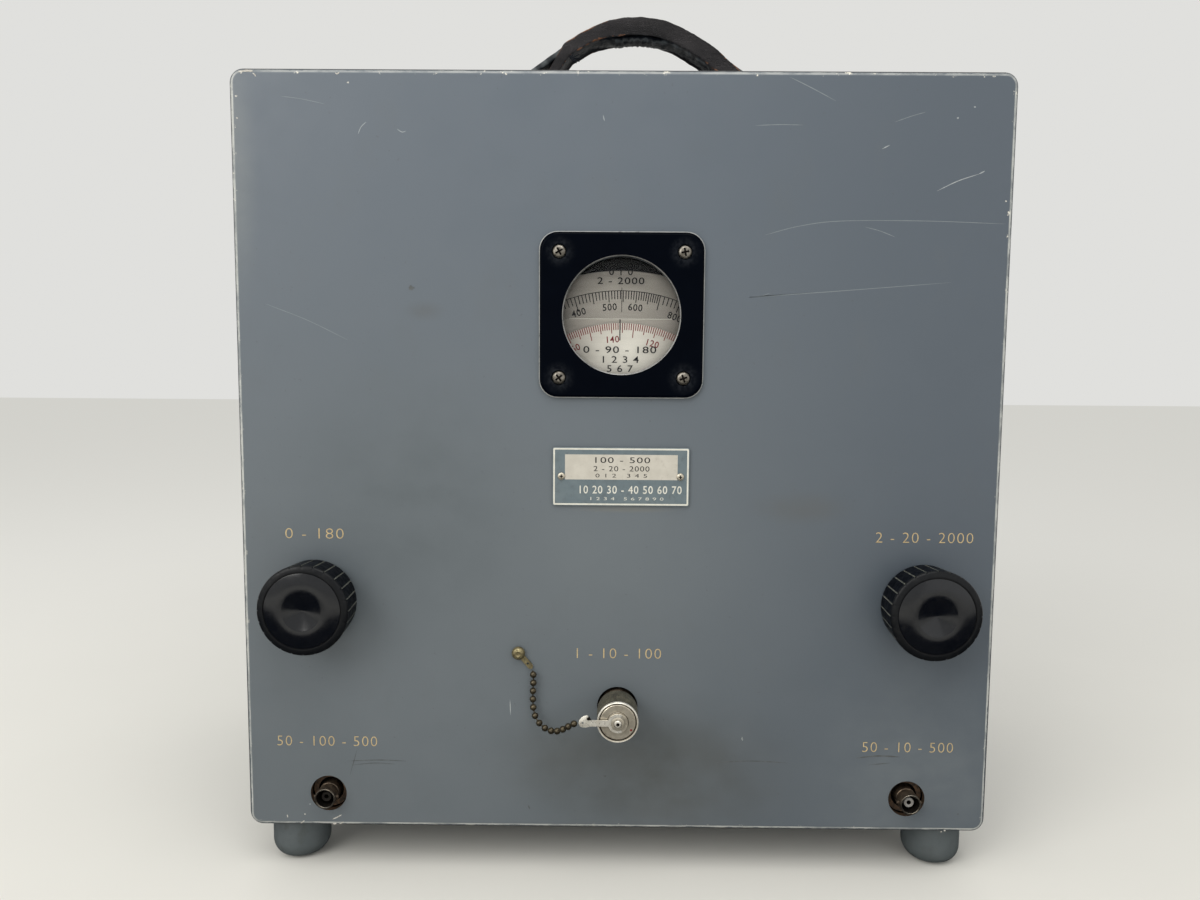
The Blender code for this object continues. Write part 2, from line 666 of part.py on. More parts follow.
def make_handle():
    """A leather handle looped round two wire rings, which swing in clips on the case's top."""
    top = make_frame("handle_frame", (0, HANDLE_Y, CASE_TOP))
    for side, name in ((-1, "left"), (1, "right")):
        pivot = (side * HANDLE_SPAN / 2, 0, RING_PIVOT_HEIGHT)
        loop = rounded_loop(2 * RING_HALF_WIDTH, RING_LENGTH, RING_CORNER, 0, 3)
        points = [(0, point.x, point.y + RING_LENGTH / 2) for point in loop]
        curve = tube_curve(f"handle_ring_{name}", points, RING_WIRE, 2, cyclic=True)
        add_object(f"handle_ring_{name}", curve, "plated_steel", top, pivot, (0, RING_SWAY, 0))

        inner = RING_WIRE + CLIP_PLAY
        outer = inner + CLIP_SHEET
        middle = (0, RING_PIVOT_HEIGHT - SEAT)
        outline = [(-CLIP_HALF_LENGTH, 0), (-CLIP_HALF_LENGTH, CLIP_SHEET), (-outer, CLIP_SHEET)]
        outline += arc_points(middle, outer, pi, 0, 8)
        outline += [(outer, CLIP_SHEET), (CLIP_HALF_LENGTH, CLIP_SHEET), (CLIP_HALF_LENGTH, 0), (inner, 0)]
        outline += arc_points(middle, inner, 0, pi, 8)
        outline += [(-inner, 0)]
        mesh = extruded_mesh(f"handle_clip_{name}", outline, -CLIP_WIDTH / 2, CLIP_WIDTH / 2)
        place = (side * HANDLE_SPAN / 2, 0, SEAT)
        add_object(f"handle_clip_{name}", mesh, "plated_steel", top, place, (pi / 2, 0, 0))

    sway, height = ring_top()
    mesh = handle_mesh(height)
    add_object("handle_grip", mesh, "leather", top, (sway, 0, 0))


def handle_mesh(bar_height):
    """The strap's section swept from one folded end, over the arch, to the other."""
    wrap = RING_WIRE + RUNNING + HANDLE_STRAP / 2
    half = HANDLE_SPAN / 2
    base = bar_height + wrap + HANDLE_STRAP / 2
    rise = HANDLE_CREST - base
    arch_steps = 14

    def outer_height(x):
        return base + rise * (1 + cos(pi * (x / half) ** HANDLE_FULLNESS)) / 2

    def outer_slope(x):
        share = (x / half) ** (HANDLE_FULLNESS - 1)
        return -rise / 2 * sin(pi * share * x / half) * pi * HANDLE_FULLNESS * share / half

    def thickness(x):
        share = min(max((x - HANDLE_PAD_HALF) / HANDLE_TAPER, 0), 1)
        return HANDLE_PAD + (HANDLE_STRAP - HANDLE_PAD) * share

    tab_x = half - HANDLE_TAB
    tab_z = outer_height(tab_x) - HANDLE_STRAP - HANDLE_TAB_GAP - HANDLE_STRAP / 2
    lean = (tab_x - half, tab_z - bar_height)
    reach = hypot(*lean)
    turn_end = -pi + acos(wrap / reach) - acos(-lean[0] / reach)
    right = []
    for step in range(arch_steps + 1):
        x = half * step / arch_steps
        slope = outer_slope(x)
        inward = thickness(x) / 2 / hypot(1, slope)
        right.append((x + slope * inward, outer_height(x) - inward, thickness(x)))
    wraps = arc_points((half, bar_height), wrap, pi / 2, turn_end, 8)[1:]
    right += [(x, z, HANDLE_STRAP) for x, z in wraps]
    right.append((tab_x, tab_z, HANDLE_STRAP))
    path = [(-x, z, thick) for x, z, thick in reversed(right[1:])] + right

    loops = []
    for index, (x, z, thick) in enumerate(path):
        before = path[max(index - 1, 0)]
        after = path[min(index + 1, len(path) - 1)]
        along = Vector((after[0] - before[0], 0, after[1] - before[1])).normalized()
        normal = Vector((-along.z, 0, along.x))
        corner = thick / 4
        section = rounded_loop(HANDLE_DEPTH, thick, corner, 0, 1)
        loops.append([Vector((x, point.x, z)) + normal * point.y for point in section])
    return loop_mesh("handle_grip", loops, smooth=True)


def square_loop(half, corner, inset, level, steps):
    """A rounded square read by angle, so that it can be skinned to a circle."""
    half = half - inset
    corner = corner - inset
    points = []
    for step in range(steps):
        turn = 2 * pi * step / steps
        across = max(abs(cos(turn)), abs(sin(turn)))
        least = min(abs(cos(turn)), abs(sin(turn)))
        reach = half / across
        if reach * least > half - corner:
            centre = half - corner
            middle = centre * (across + least)
            reach = middle + sqrt(middle * middle - 2 * centre * centre + corner * corner)
        points.append(Vector((reach * cos(turn), reach * sin(turn), level)))
    return points


def make_window(panel):
    """The bezel, its four screws, the glass under it and the clear cursor plate behind."""
    steps = DIAL_STEPS
    place = (WINDOW_X, WINDOW_UP, 0)
    top = SEAT + BEZEL_THICKNESS
    loops = [
        square_loop(BEZEL_HALF, BEZEL_CORNER, 0, SEAT, steps),
        square_loop(BEZEL_HALF, BEZEL_CORNER, 0, top - BEZEL_BEVEL, steps),
        square_loop(BEZEL_HALF, BEZEL_CORNER, BEZEL_BEVEL, top, steps),
        circle_loop(WINDOW_RADIUS + WINDOW_CHAMFER, top, steps),
        circle_loop(WINDOW_RADIUS, top - WINDOW_CHAMFER, steps),
        circle_loop(WINDOW_RADIUS, SEAT, steps),
    ]
    loops = [moved(loop, place) for loop in loops]
    bezel = add_object("window_bezel", loop_mesh("window_bezel", loops, ring=True), "black_enamel", panel)
    holes = bmesh.new()
    for x, up in bezel_screw_places():
        sink = top - BEZEL_SINK_DEPTH
        profile = [(0, top + CUT_OVERRUN), (BEZEL_SINK_RADIUS, top + CUT_OVERRUN), (BEZEL_SINK_RADIUS, sink)]
        profile += [(BEZEL_SCREW_RADIUS + RUNNING, sink), (BEZEL_SCREW_RADIUS + RUNNING, -CUT_OVERRUN)]
        profile += [(0, -CUT_OVERRUN)]
        loops = [circle_loop(radius, level, TINY_STEPS) for radius, level in profile]
        add_loops(holes, [moved(loop, (x, up, 0)) for loop in loops])
    apply_boolean(bezel, holes, "DIFFERENCE", "bezel_holes")

    under_head = top - BEZEL_SINK_DEPTH + SEAT
    length = under_head + CASE_WALL + SEAT
    sizes = (BEZEL_HEAD_RADIUS, BEZEL_HEAD_HEIGHT, BEZEL_SCREW_RADIUS, length, under_head)
    mesh = screw_mesh("bezel_screw", *sizes)
    mesh.materials.append(MATERIALS["plated_steel"])
    names = ("top_left", "top_right", "bottom_left", "bottom_right")
    for name, (x, up) in zip(names, bezel_screw_places()):
        add_object(f"bezel_screw_{name}", mesh, None, panel, (x, up, 0))

    profile = [(0, 0), (GLASS_RADIUS, 0), (GLASS_RADIUS, -GLASS_THICKNESS), (0, -GLASS_THICKNESS)]
    add_object("window_glass", turned_mesh("window_glass", profile), "glass", panel, place)

    seat = -CASE_WALL - SEAT
    front = -CURSOR_DEPTH
    back = front - CURSOR_THICKNESS
    inner = CURSOR_HALF_WIDTH - CURSOR_FOOT_WIDTH
    outline = [(-CURSOR_HALF_WIDTH, seat), (-CURSOR_HALF_WIDTH, back), (CURSOR_HALF_WIDTH, back)]
    outline += [(CURSOR_HALF_WIDTH, seat), (inner, seat), (inner, front), (-inner, front), (-inner, seat)]
    mesh = extruded_mesh("cursor_plate", outline, 0, CURSOR_TOP_UP - CURSOR_BOTTOM_UP)
    add_object("cursor_plate", mesh, "glass", panel, (WINDOW_X, CURSOR_TOP_UP, 0), (pi / 2, 0, 0))


def make_nameplate(panel):
    """The bare two-tone plate under the window, held by two small screws."""
    size = (NAMEPLATE_WIDTH, NAMEPLATE_HEIGHT, NAMEPLATE_CORNER)
    levels = (SEAT, SEAT + NAMEPLATE_THICKNESS)
    loops = [moved(rounded_loop(*size, level), (NAMEPLATE_X, NAMEPLATE_UP, 0)) for level in levels]
    plate = add_object("nameplate", loop_mesh("nameplate", loops), "plate_enamel", panel)
    holes = bmesh.new()
    for x in nameplate_screw_places():
        start = (x, NAMEPLATE_UP, -CUT_OVERRUN)
        end = (x, NAMEPLATE_UP, NAMEPLATE_THICKNESS + CUT_OVERRUN)
        add_drill(holes, NAMEPLATE_SCREW_RADIUS + RUNNING, start, end)
    apply_boolean(plate, holes, "DIFFERENCE", "nameplate_holes")
    under_head = SEAT + NAMEPLATE_THICKNESS + SEAT
    length = under_head + CASE_WALL
    sizes = (NAMEPLATE_HEAD_RADIUS, NAMEPLATE_HEAD_HEIGHT, NAMEPLATE_SCREW_RADIUS, length, under_head)
    mesh = screw_mesh("nameplate_screw", *sizes)
    mesh.materials.append(MATERIALS["nickel"])
    for name, x in zip(("left", "right"), nameplate_screw_places()):
        add_object(f"nameplate_screw_{name}", mesh, None, panel, (x, NAMEPLATE_UP, 0))


def knob_loop(radius, level, flute):
    """A circle with V grooves cut into it to the flute depth times its share."""
    points = []
    steps = 2 * KNOB_FLUTES
    for step in range(steps):
        turn = 2 * pi * step / steps
        reach = radius - KNOB_FLUTE_DEPTH * flute * (1 - step % 2)
        points.append(Vector((reach * cos(turn), reach * sin(turn), level)))
    return points


def knob_mesh():
    """A fluted round knob with a rimmed, slightly raised front and a conical middle, bored from behind."""
    bore = SHAFT_RADIUS + RUNNING
    rim_inner = KNOB_RIM_RADIUS - KNOB_RIM_WIDTH
    disc_outer = rim_inner - KNOB_GROOVE_WIDTH
    rim = KNOB_FRONT - KNOB_CROWN
    groove = rim - KNOB_GROOVE_DEPTH
    profile = [
        (0, KNOB_BORE_DEPTH, 0),
        (bore, KNOB_BORE_DEPTH, 0),
        (bore, KNOB_BACK, 0),
        (KNOB_BACK_RADIUS - KNOB_FLUTE_DEPTH - KNOB_BACK_EDGE, KNOB_BACK, 0),
        (KNOB_BACK_RADIUS, KNOB_BACK + KNOB_BACK_EDGE, 1),
        (KNOB_RADIUS, rim - KNOB_SHOULDER, 1),
        (KNOB_RIM_RADIUS, rim, 0),
        (rim_inner, rim, 0),
        (rim_inner, groove, 0),
        (disc_outer, groove, 0),
        (disc_outer, rim, 0),
        (KNOB_RECESS_RADIUS, KNOB_FRONT, 0),
        (0, KNOB_FRONT - KNOB_RECESS_DEPTH, 0),
    ]
    loops = [knob_loop(*row) if row[0] else [Vector((0, 0, row[1]))] for row in profile]
    return loop_mesh("knob", loops, smooth=True)


def groove_profile(inner, root, level):
    """A grooved wheel round a shaft, down its outer side, about a cord at the given level."""
    outer = root + GROOVE_DEPTH
    half = DRUM_WIDTH / 2
    front, back = level + half, level - half
    return [(inner, front), (outer, front), (root, level), (outer, back), (inner, back)]


def make_controls(panel):
    """Both knobs on their shafts, which turn in bushings and carry the cord pulleys."""
    knob = knob_mesh()
    knob.materials.append(MATERIALS["knob_plastic"])
    controls = (("phase", -KNOB_X, PHASE_CORD_DEPTH), ("magnitude", KNOB_X, MAGNITUDE_CORD_DEPTH))
    for name, x, cord_depth in controls:
        axis = make_frame(f"{name}_axis", (x, KNOB_UP, 0))
        axis.parent = panel
        add_object(f"{name}_knob", knob, None, axis)
        tail = -cord_depth - DRUM_WIDTH / 2 - SHAFT_TAIL
        front = KNOB_BORE_DEPTH - SEAT
        profile = [(0, front), (SHAFT_RADIUS, front)]
        profile += groove_profile(SHAFT_RADIUS, PULLEY_RADIUS, -cord_depth)
        profile += [(SHAFT_RADIUS, tail), (0, tail)]
        add_object(f"{name}_shaft", turned_mesh(f"{name}_shaft", profile, SMALL_STEPS), "plated_steel", axis)
        bore = SHAFT_RADIUS + RUNNING
        collar = -CASE_WALL - SEAT
        back = collar - BUSHING_FLANGE_THICKNESS
        profile = [(bore, KNOB_BACK - SEAT), (BUSHING_RADIUS, KNOB_BACK - SEAT), (BUSHING_RADIUS, collar)]
        profile += [(BUSHING_FLANGE, collar), (BUSHING_FLANGE, back), (bore, back)]
        mesh = turned_mesh(f"{name}_bushing", profile, SMALL_STEPS, ring=True)
        add_object(f"{name}_bushing", mesh, "brass", panel, (x, KNOB_UP, 0))


def make_dials(panel):
    """Two dials on concentric shafts: the angle dial on the spindle, the impedance dial on the sleeve."""
    axis = make_frame("dial_axis", (DIAL_X, DIAL_UP, 0))
    axis.parent = panel
    dials = (
        ("angle_dial", ANGLE_DIAL_RADIUS, SPINDLE_RADIUS, ANGLE_DIAL_DEPTH),
        ("impedance_dial", IMPEDANCE_DIAL_RADIUS, SLEEVE_RADIUS, IMPEDANCE_DIAL_DEPTH),
    )
    for name, radius, shaft, depth in dials:
        bore = shaft + RUNNING
        back = -depth - DIAL_THICKNESS
        profile = [(bore, -depth), (radius, -depth), (radius, back), (bore, back)]
        add_object(name, turned_mesh(name, profile, DIAL_STEPS, ring=True), "dial_metal", axis)

    clamp = SEAT - ANGLE_DIAL_DEPTH
    collar = -ANGLE_DIAL_DEPTH - DIAL_THICKNESS - SEAT
    tail = -LINE_BACK_DEPTH - LINE_BASE_THICKNESS - SPINDLE_TAIL
    profile = [(0, clamp + COLLAR_THICKNESS), (SPINDLE_CLAMP_RADIUS, clamp + COLLAR_THICKNESS)]
    profile += [(SPINDLE_CLAMP_RADIUS, clamp), (SPINDLE_RADIUS, clamp), (SPINDLE_RADIUS, collar)]
    profile += [(SPINDLE_COLLAR_RADIUS, collar), (SPINDLE_COLLAR_RADIUS, collar - COLLAR_THICKNESS)]
    profile += [(SPINDLE_RADIUS, collar - COLLAR_THICKNESS)]
    profile += groove_profile(SPINDLE_RADIUS, DRUM_RADIUS, -PHASE_CORD_DEPTH)
    profile += [(SPINDLE_RADIUS, tail), (0, tail)]
    add_object("dial_spindle", turned_mesh("dial_spindle", profile), "plated_steel", axis)

    bore = SPINDLE_RADIUS + RUNNING
    front = SEAT + COLLAR_THICKNESS / 4 - IMPEDANCE_DIAL_DEPTH
    collar = -IMPEDANCE_DIAL_DEPTH - DIAL_THICKNESS - SEAT
    back = PINION_WIDTH / 2 - TUBE_DEPTH - PINION_WIDTH - SEAT
    rear = collar - 2 * COLLAR_THICKNESS
    profile = [(bore, front), (SLEEVE_RADIUS, front), (SLEEVE_RADIUS, collar), (SLEEVE_COLLAR_RADIUS, collar)]
    profile += [(SLEEVE_COLLAR_RADIUS, rear), (SLEEVE_RADIUS, rear)]
    profile += groove_profile(SLEEVE_RADIUS, DRUM_RADIUS, -MAGNITUDE_CORD_DEPTH)
    profile += [(SLEEVE_RADIUS, back), (bore, back)]
    add_object("dial_sleeve", turned_mesh("dial_sleeve", profile, ring=True), "brass", axis)

    mesh = pinion_mesh()
    add_object("rack_pinion", mesh, "brass", axis, (0, 0, -TUBE_DEPTH))


def tooth_flank(pitch, offset):
    """Half a tooth's width at an offset outwards from the pitch line."""
    return pitch / 4 - TOOTH_PLAY - offset * sin(PRESSURE_ANGLE) / cos(PRESSURE_ANGLE)


def pinion_mesh():
    """A small spur gear, with a tooth's gap straight below its axis."""
    pitch = 2 * pi * PINION_PITCH_RADIUS / PINION_TEETH
    outer = []
    inner = []
    bore = SLEEVE_RADIUS + RUNNING
    root, tip = -TOOTH_DEDENDUM, TOOTH_ADDENDUM
    for tooth in range(PINION_TEETH):
        middle = -pi / 2 + (tooth + 0.5) * 2 * pi / PINION_TEETH
        for side, offset in ((-1, root), (-1, tip), (1, tip), (1, root)):
            radius = PINION_PITCH_RADIUS + offset
            turn = middle + side * tooth_flank(pitch, offset) / PINION_PITCH_RADIUS
            outer.append((radius * cos(turn), radius * sin(turn)))
            inner.append((bore * cos(turn), bore * sin(turn)))
    low, high = -PINION_WIDTH / 2, PINION_WIDTH / 2
    loops = [
        [Vector((x, y, high)) for x, y in inner],
        [Vector((x, y, high)) for x, y in outer],
        [Vector((x, y, low)) for x, y in outer],
        [Vector((x, y, low)) for x, y in inner],
    ]
    return loop_mesh("rack_pinion", loops, ring=True)


def carriage_outline():
    """The carriage seen from the front: a toothed rack on a web over a bar with a leg at each end."""
    pitch = 2 * pi * PINION_PITCH_RADIUS / PINION_TEETH
    pitch_line = DIAL_UP - PINION_PITCH_RADIUS
    rack_bottom = pitch_line - TOOTH_DEDENDUM - RACK_BACKING
    bar_bottom = BLOCK_TOP_UP + CARRIAGE_BAR_CLEARANCE
    bar_top = bar_bottom + CARRIAGE_BAR_HEIGHT
    leg_bottom = PORT_UP - CARRIAGE_LEG_DROP
    outer = CARRIAGE_LEG_X + CARRIAGE_LEG_WIDTH
    rack_half = (RACK_TEETH + 1) / 2 * pitch
    root, tip = -TOOTH_DEDENDUM, TOOTH_ADDENDUM
    web = CARRIAGE_WEB_HALF
    contact = DIAL_X - CARRIAGE_OFFSET
    outline = [(-outer, leg_bottom), (-CARRIAGE_LEG_X, leg_bottom), (-CARRIAGE_LEG_X, bar_bottom)]
    outline += [(CARRIAGE_LEG_X, bar_bottom), (CARRIAGE_LEG_X, leg_bottom), (outer, leg_bottom)]
    outline += [(outer, bar_top), (web, bar_top), (web, rack_bottom), (rack_half, rack_bottom)]
    outline += [(rack_half, pitch_line + root)]
    for place in range(RACK_TEETH, -1, -1):
        middle = (place - RACK_TEETH / 2) * pitch + (contact % pitch) - pitch / 2
        if abs(middle) + pitch / 2 > rack_half:
            continue
        for side, offset in ((1, root), (1, tip), (-1, tip), (-1, root)):
            outline.append((middle + side * tooth_flank(pitch, offset), pitch_line + offset))
    outline += [(-rack_half, pitch_line + root), (-rack_half, rack_bottom), (-web, rack_bottom)]
    outline += [(-web, bar_top), (-outer, bar_top)]
    return outline


def make_attenuators(panel):
    """The bridge block, a tube at each side, and the carriage that moves both pistons together."""
    front = -CHASSIS_DEPTH - CHASSIS_THICKNESS - SEAT
    guide_up = BLOCK_TOP_UP - GUIDE_DROP
    corners = [(-BLOCK_HALF_WIDTH, BLOCK_BOTTOM_UP), (BLOCK_HALF_WIDTH, BLOCK_BOTTOM_UP)]
    corners += [(BLOCK_HALF_WIDTH, BLOCK_TOP_UP), (-BLOCK_HALF_WIDTH, BLOCK_TOP_UP)]
    mesh = extruded_mesh("bridge_block", corners, front - BLOCK_DEPTH, front)
    block = add_object("bridge_block", mesh, "aluminium", panel)
    bores = bmesh.new()
    reach = BLOCK_HALF_WIDTH + CUT_OVERRUN
    add_drill(bores, GUIDE_RADIUS + SEAT, (-reach, guide_up, -TUBE_DEPTH), (reach, guide_up, -TUBE_DEPTH))
    apply_boolean(block, bores, "DIFFERENCE", "block_bores")

    profile = [(TUBE_BORE, TUBE_LENGTH), (TUBE_RADIUS, TUBE_LENGTH), (TUBE_RADIUS, 0), (TUBE_BORE, 0)]
    tube = turned_mesh("attenuator_tube", profile, ring=True)
    tube.materials.append(MATERIALS["brass"])
    length = PISTON_ROD_LENGTH
    profile = [(0, 0), (PISTON_ROD, 0), (PISTON_ROD, -length), (PISTON_RADIUS, -length)]
    profile += [(PISTON_RADIUS, -length - PISTON_HEAD), (0, -length - PISTON_HEAD)]
    piston = turned_mesh("attenuator_piston", profile)
    piston.materials.append(MATERIALS["plated_steel"])
    carriage = make_frame("carriage_frame", (CARRIAGE_OFFSET, 0, 0))
    carriage.parent = panel
    for side, name in ((-1, "left"), (1, "right")):
        turn = (0, side * pi / 2, 0)
        place = (side * (BLOCK_HALF_WIDTH + SEAT), PORT_UP, -TUBE_DEPTH)
        add_object(f"attenuator_tube_{name}", tube, None, panel, place, turn)
        place = (side * (CARRIAGE_LEG_X - SEAT), PORT_UP, -TUBE_DEPTH)
        add_object(f"attenuator_piston_{name}", piston, None, carriage, place, turn)

    low = -TUBE_DEPTH - CARRIAGE_THICKNESS / 2
    mesh = extruded_mesh("attenuator_carriage", carriage_outline(), low, low + CARRIAGE_THICKNESS)
    frame = add_object("attenuator_carriage", mesh, "aluminium", carriage)
    bores = bmesh.new()
    for side in (-1, 1):
        near = side * (CARRIAGE_LEG_X - CUT_OVERRUN)
        far = side * (CARRIAGE_LEG_X + CARRIAGE_LEG_WIDTH + CUT_OVERRUN)
        add_drill(bores, GUIDE_RADIUS + RUNNING, (near, guide_up, -TUBE_DEPTH), (far, guide_up, -TUBE_DEPTH))
    apply_boolean(frame, bores, "DIFFERENCE", "carriage_bores")

    profile = [(0, GUIDE_HALF_LENGTH), (GUIDE_RADIUS, GUIDE_HALF_LENGTH), (GUIDE_RADIUS, -GUIDE_HALF_LENGTH)]
    profile += [(0, -GUIDE_HALF_LENGTH)]
    mesh = turned_mesh("guide_rod", profile, SMALL_STEPS)
    add_object("guide_rod", mesh, "plated_steel", panel, (0, guide_up, -TUBE_DEPTH), (0, pi / 2, 0))


def make_chassis(panel):
    """The inner plate that carries the works, on four posts behind the front panel."""
    low = -CHASSIS_DEPTH - CHASSIS_THICKNESS
    corners = [(-CHASSIS_HALF_WIDTH, CHASSIS_BOTTOM_UP), (CHASSIS_HALF_WIDTH, CHASSIS_BOTTOM_UP)]
    corners += [(CHASSIS_HALF_WIDTH, CHASSIS_TOP_UP), (-CHASSIS_HALF_WIDTH, CHASSIS_TOP_UP)]
    mesh = extruded_mesh("chassis", corners, low, -CHASSIS_DEPTH)
    chassis = add_object("chassis", mesh, "black_enamel", panel)
    posts = bmesh.new()
    for x in (-POST_X, POST_X):
        for up in (POST_LOW_UP, POST_HIGH_UP):
            add_drill(posts, POST_RADIUS, (x, up, low + CHASSIS_THICKNESS / 2), (x, up, -CASE_WALL - SEAT))
    apply_boolean(chassis, posts, "UNION", "chassis_posts")
    holes = bmesh.new()
    drills = [(SLEEVE_RADIUS + RUNNING, DIAL_X, DIAL_UP)]
    drills += [(SHAFT_RADIUS + RUNNING, x, KNOB_UP) for x in (-KNOB_X, KNOB_X)]
    drills += [(JACK_THREAD_RADIUS + SEAT, x, JACK_UP) for x in (GENERATOR_X, DETECTOR_X)]
    drills += [(PORT_THREAD_RADIUS + SEAT, 0, PORT_UP)]
    for radius, x, up in drills:
        add_drill(holes, radius, (x, up, low - CUT_OVERRUN), (x, up, CUT_OVERRUN - CHASSIS_DEPTH))
    apply_boolean(chassis, holes, "DIFFERENCE", "chassis_holes")


def make_phase_line(panel):
    """The circular slotted line on its posts, and the probe arm that the spindle swings along it."""
    axis = make_frame("line_axis", (DIAL_X, DIAL_UP, 0))
    axis.parent = panel
    inner, outer = LINE_RADIUS - LINE_HALF_WIDTH, LINE_RADIUS + LINE_HALF_WIDTH
    slot_inner, slot_outer = LINE_RADIUS - LINE_SLOT_HALF, LINE_RADIUS + LINE_SLOT_HALF
    front, floor = -LINE_FRONT_DEPTH, -LINE_FRONT_DEPTH - LINE_SLOT_DEPTH
    back = -LINE_BACK_DEPTH - LINE_BASE_THICKNESS / 2
    section = [(inner, front), (slot_inner, front), (slot_inner, floor), (slot_outer, floor)]
    section += [(slot_outer, front), (outer, front), (outer, back), (inner, back)]
    steps = 24
    loops = []
    for step in range(steps + 1):
        turn = -pi / 2 + LINE_GAP / 2 + (2 * pi - LINE_GAP) * step / steps
        loops.append([Vector((radius * cos(turn), radius * sin(turn), level)) for radius, level in section])
    line = add_object("phase_line", loop_mesh("phase_line", loops), "brass", axis)
    base = bmesh.new()
    hole = SPINDLE_RADIUS + RUNNING
    low = -LINE_BACK_DEPTH - LINE_BASE_THICKNESS
    profile = [(hole, -LINE_BACK_DEPTH), (LINE_BASE_RADIUS, -LINE_BACK_DEPTH)]
    profile += [(LINE_BASE_RADIUS, low), (hole, low)]
    add_loops(base, [circle_loop(radius, level, ROUND_STEPS) for radius, level in profile], ring=True)
    apply_boolean(line, base, "UNION", "line_base")
    posts = bmesh.new()
    for turn in LINE_POST_ANGLES:
        x, y = LINE_POST_CIRCLE * cos(turn), LINE_POST_CIRCLE * sin(turn)
        top = -CHASSIS_DEPTH - CHASSIS_THICKNESS - SEAT
        add_drill(posts, LINE_POST_RADIUS, (x, y, low + LINE_BASE_THICKNESS / 2), (x, y, top))
    apply_boolean(line, posts, "UNION", "line_posts")

    probe = make_frame("probe_axis", (DIAL_X, DIAL_UP, 0), (0, 0, PROBE_ANGLE))
    probe.parent = panel
    outline = arc_points((0, 0), PROBE_HUB_RADIUS, radians(40), radians(320), 14)
    outline += arc_points((LINE_RADIUS, 0), PROBE_TIP_RADIUS, radians(-90), radians(90), 8)
    low = -PROBE_DEPTH - PROBE_THICKNESS
    arm = add_object("probe_arm", extruded_mesh("probe_arm", outline, low, -PROBE_DEPTH), "aluminium", probe)
    pin = bmesh.new()
    middle = low / 2 - PROBE_DEPTH / 2
    add_drill(pin, PROBE_PIN_RADIUS, (LINE_RADIUS, 0, low - PROBE_PIN_REACH), (LINE_RADIUS, 0, middle))
    apply_boolean(arm, pin, "UNION", "probe_pin")
    bore = bmesh.new()
    add_drill(bore, SPINDLE_RADIUS + RUNNING, (0, 0, low - CUT_OVERRUN), (0, 0, CUT_OVERRUN - PROBE_DEPTH))
    apply_boolean(arm, bore, "DIFFERENCE", "probe_bore")


def make_drive_cords(panel):
    """The two endless cords that carry each knob's turn to its dial's drum."""
    drives = (("phase_cord", -KNOB_X, PHASE_CORD_DEPTH), ("magnitude_cord", KNOB_X, MAGNITUDE_CORD_DEPTH))
    for name, x, depth in drives:
        small = PULLEY_RADIUS + SEAT + CORD_RADIUS
        large = DRUM_RADIUS + SEAT + CORD_RADIUS
        between = Vector((DIAL_X - x, DIAL_UP - KNOB_UP))
        lean = Vector((1, 0)).angle_signed(between)
        spread = acos((large - small) / between.length)
        points = arc_points((DIAL_X, DIAL_UP), large, -lean - pi + spread, -lean + pi - spread, 18)
        points += arc_points((x, KNOB_UP), small, -lean + pi - spread, -lean + pi + spread, 10)
        curve = tube_curve(name, [(across, up, -depth) for across, up in points], CORD_RADIUS, 1, cyclic=True)
        add_object(name, curve, "dark_steel", panel)


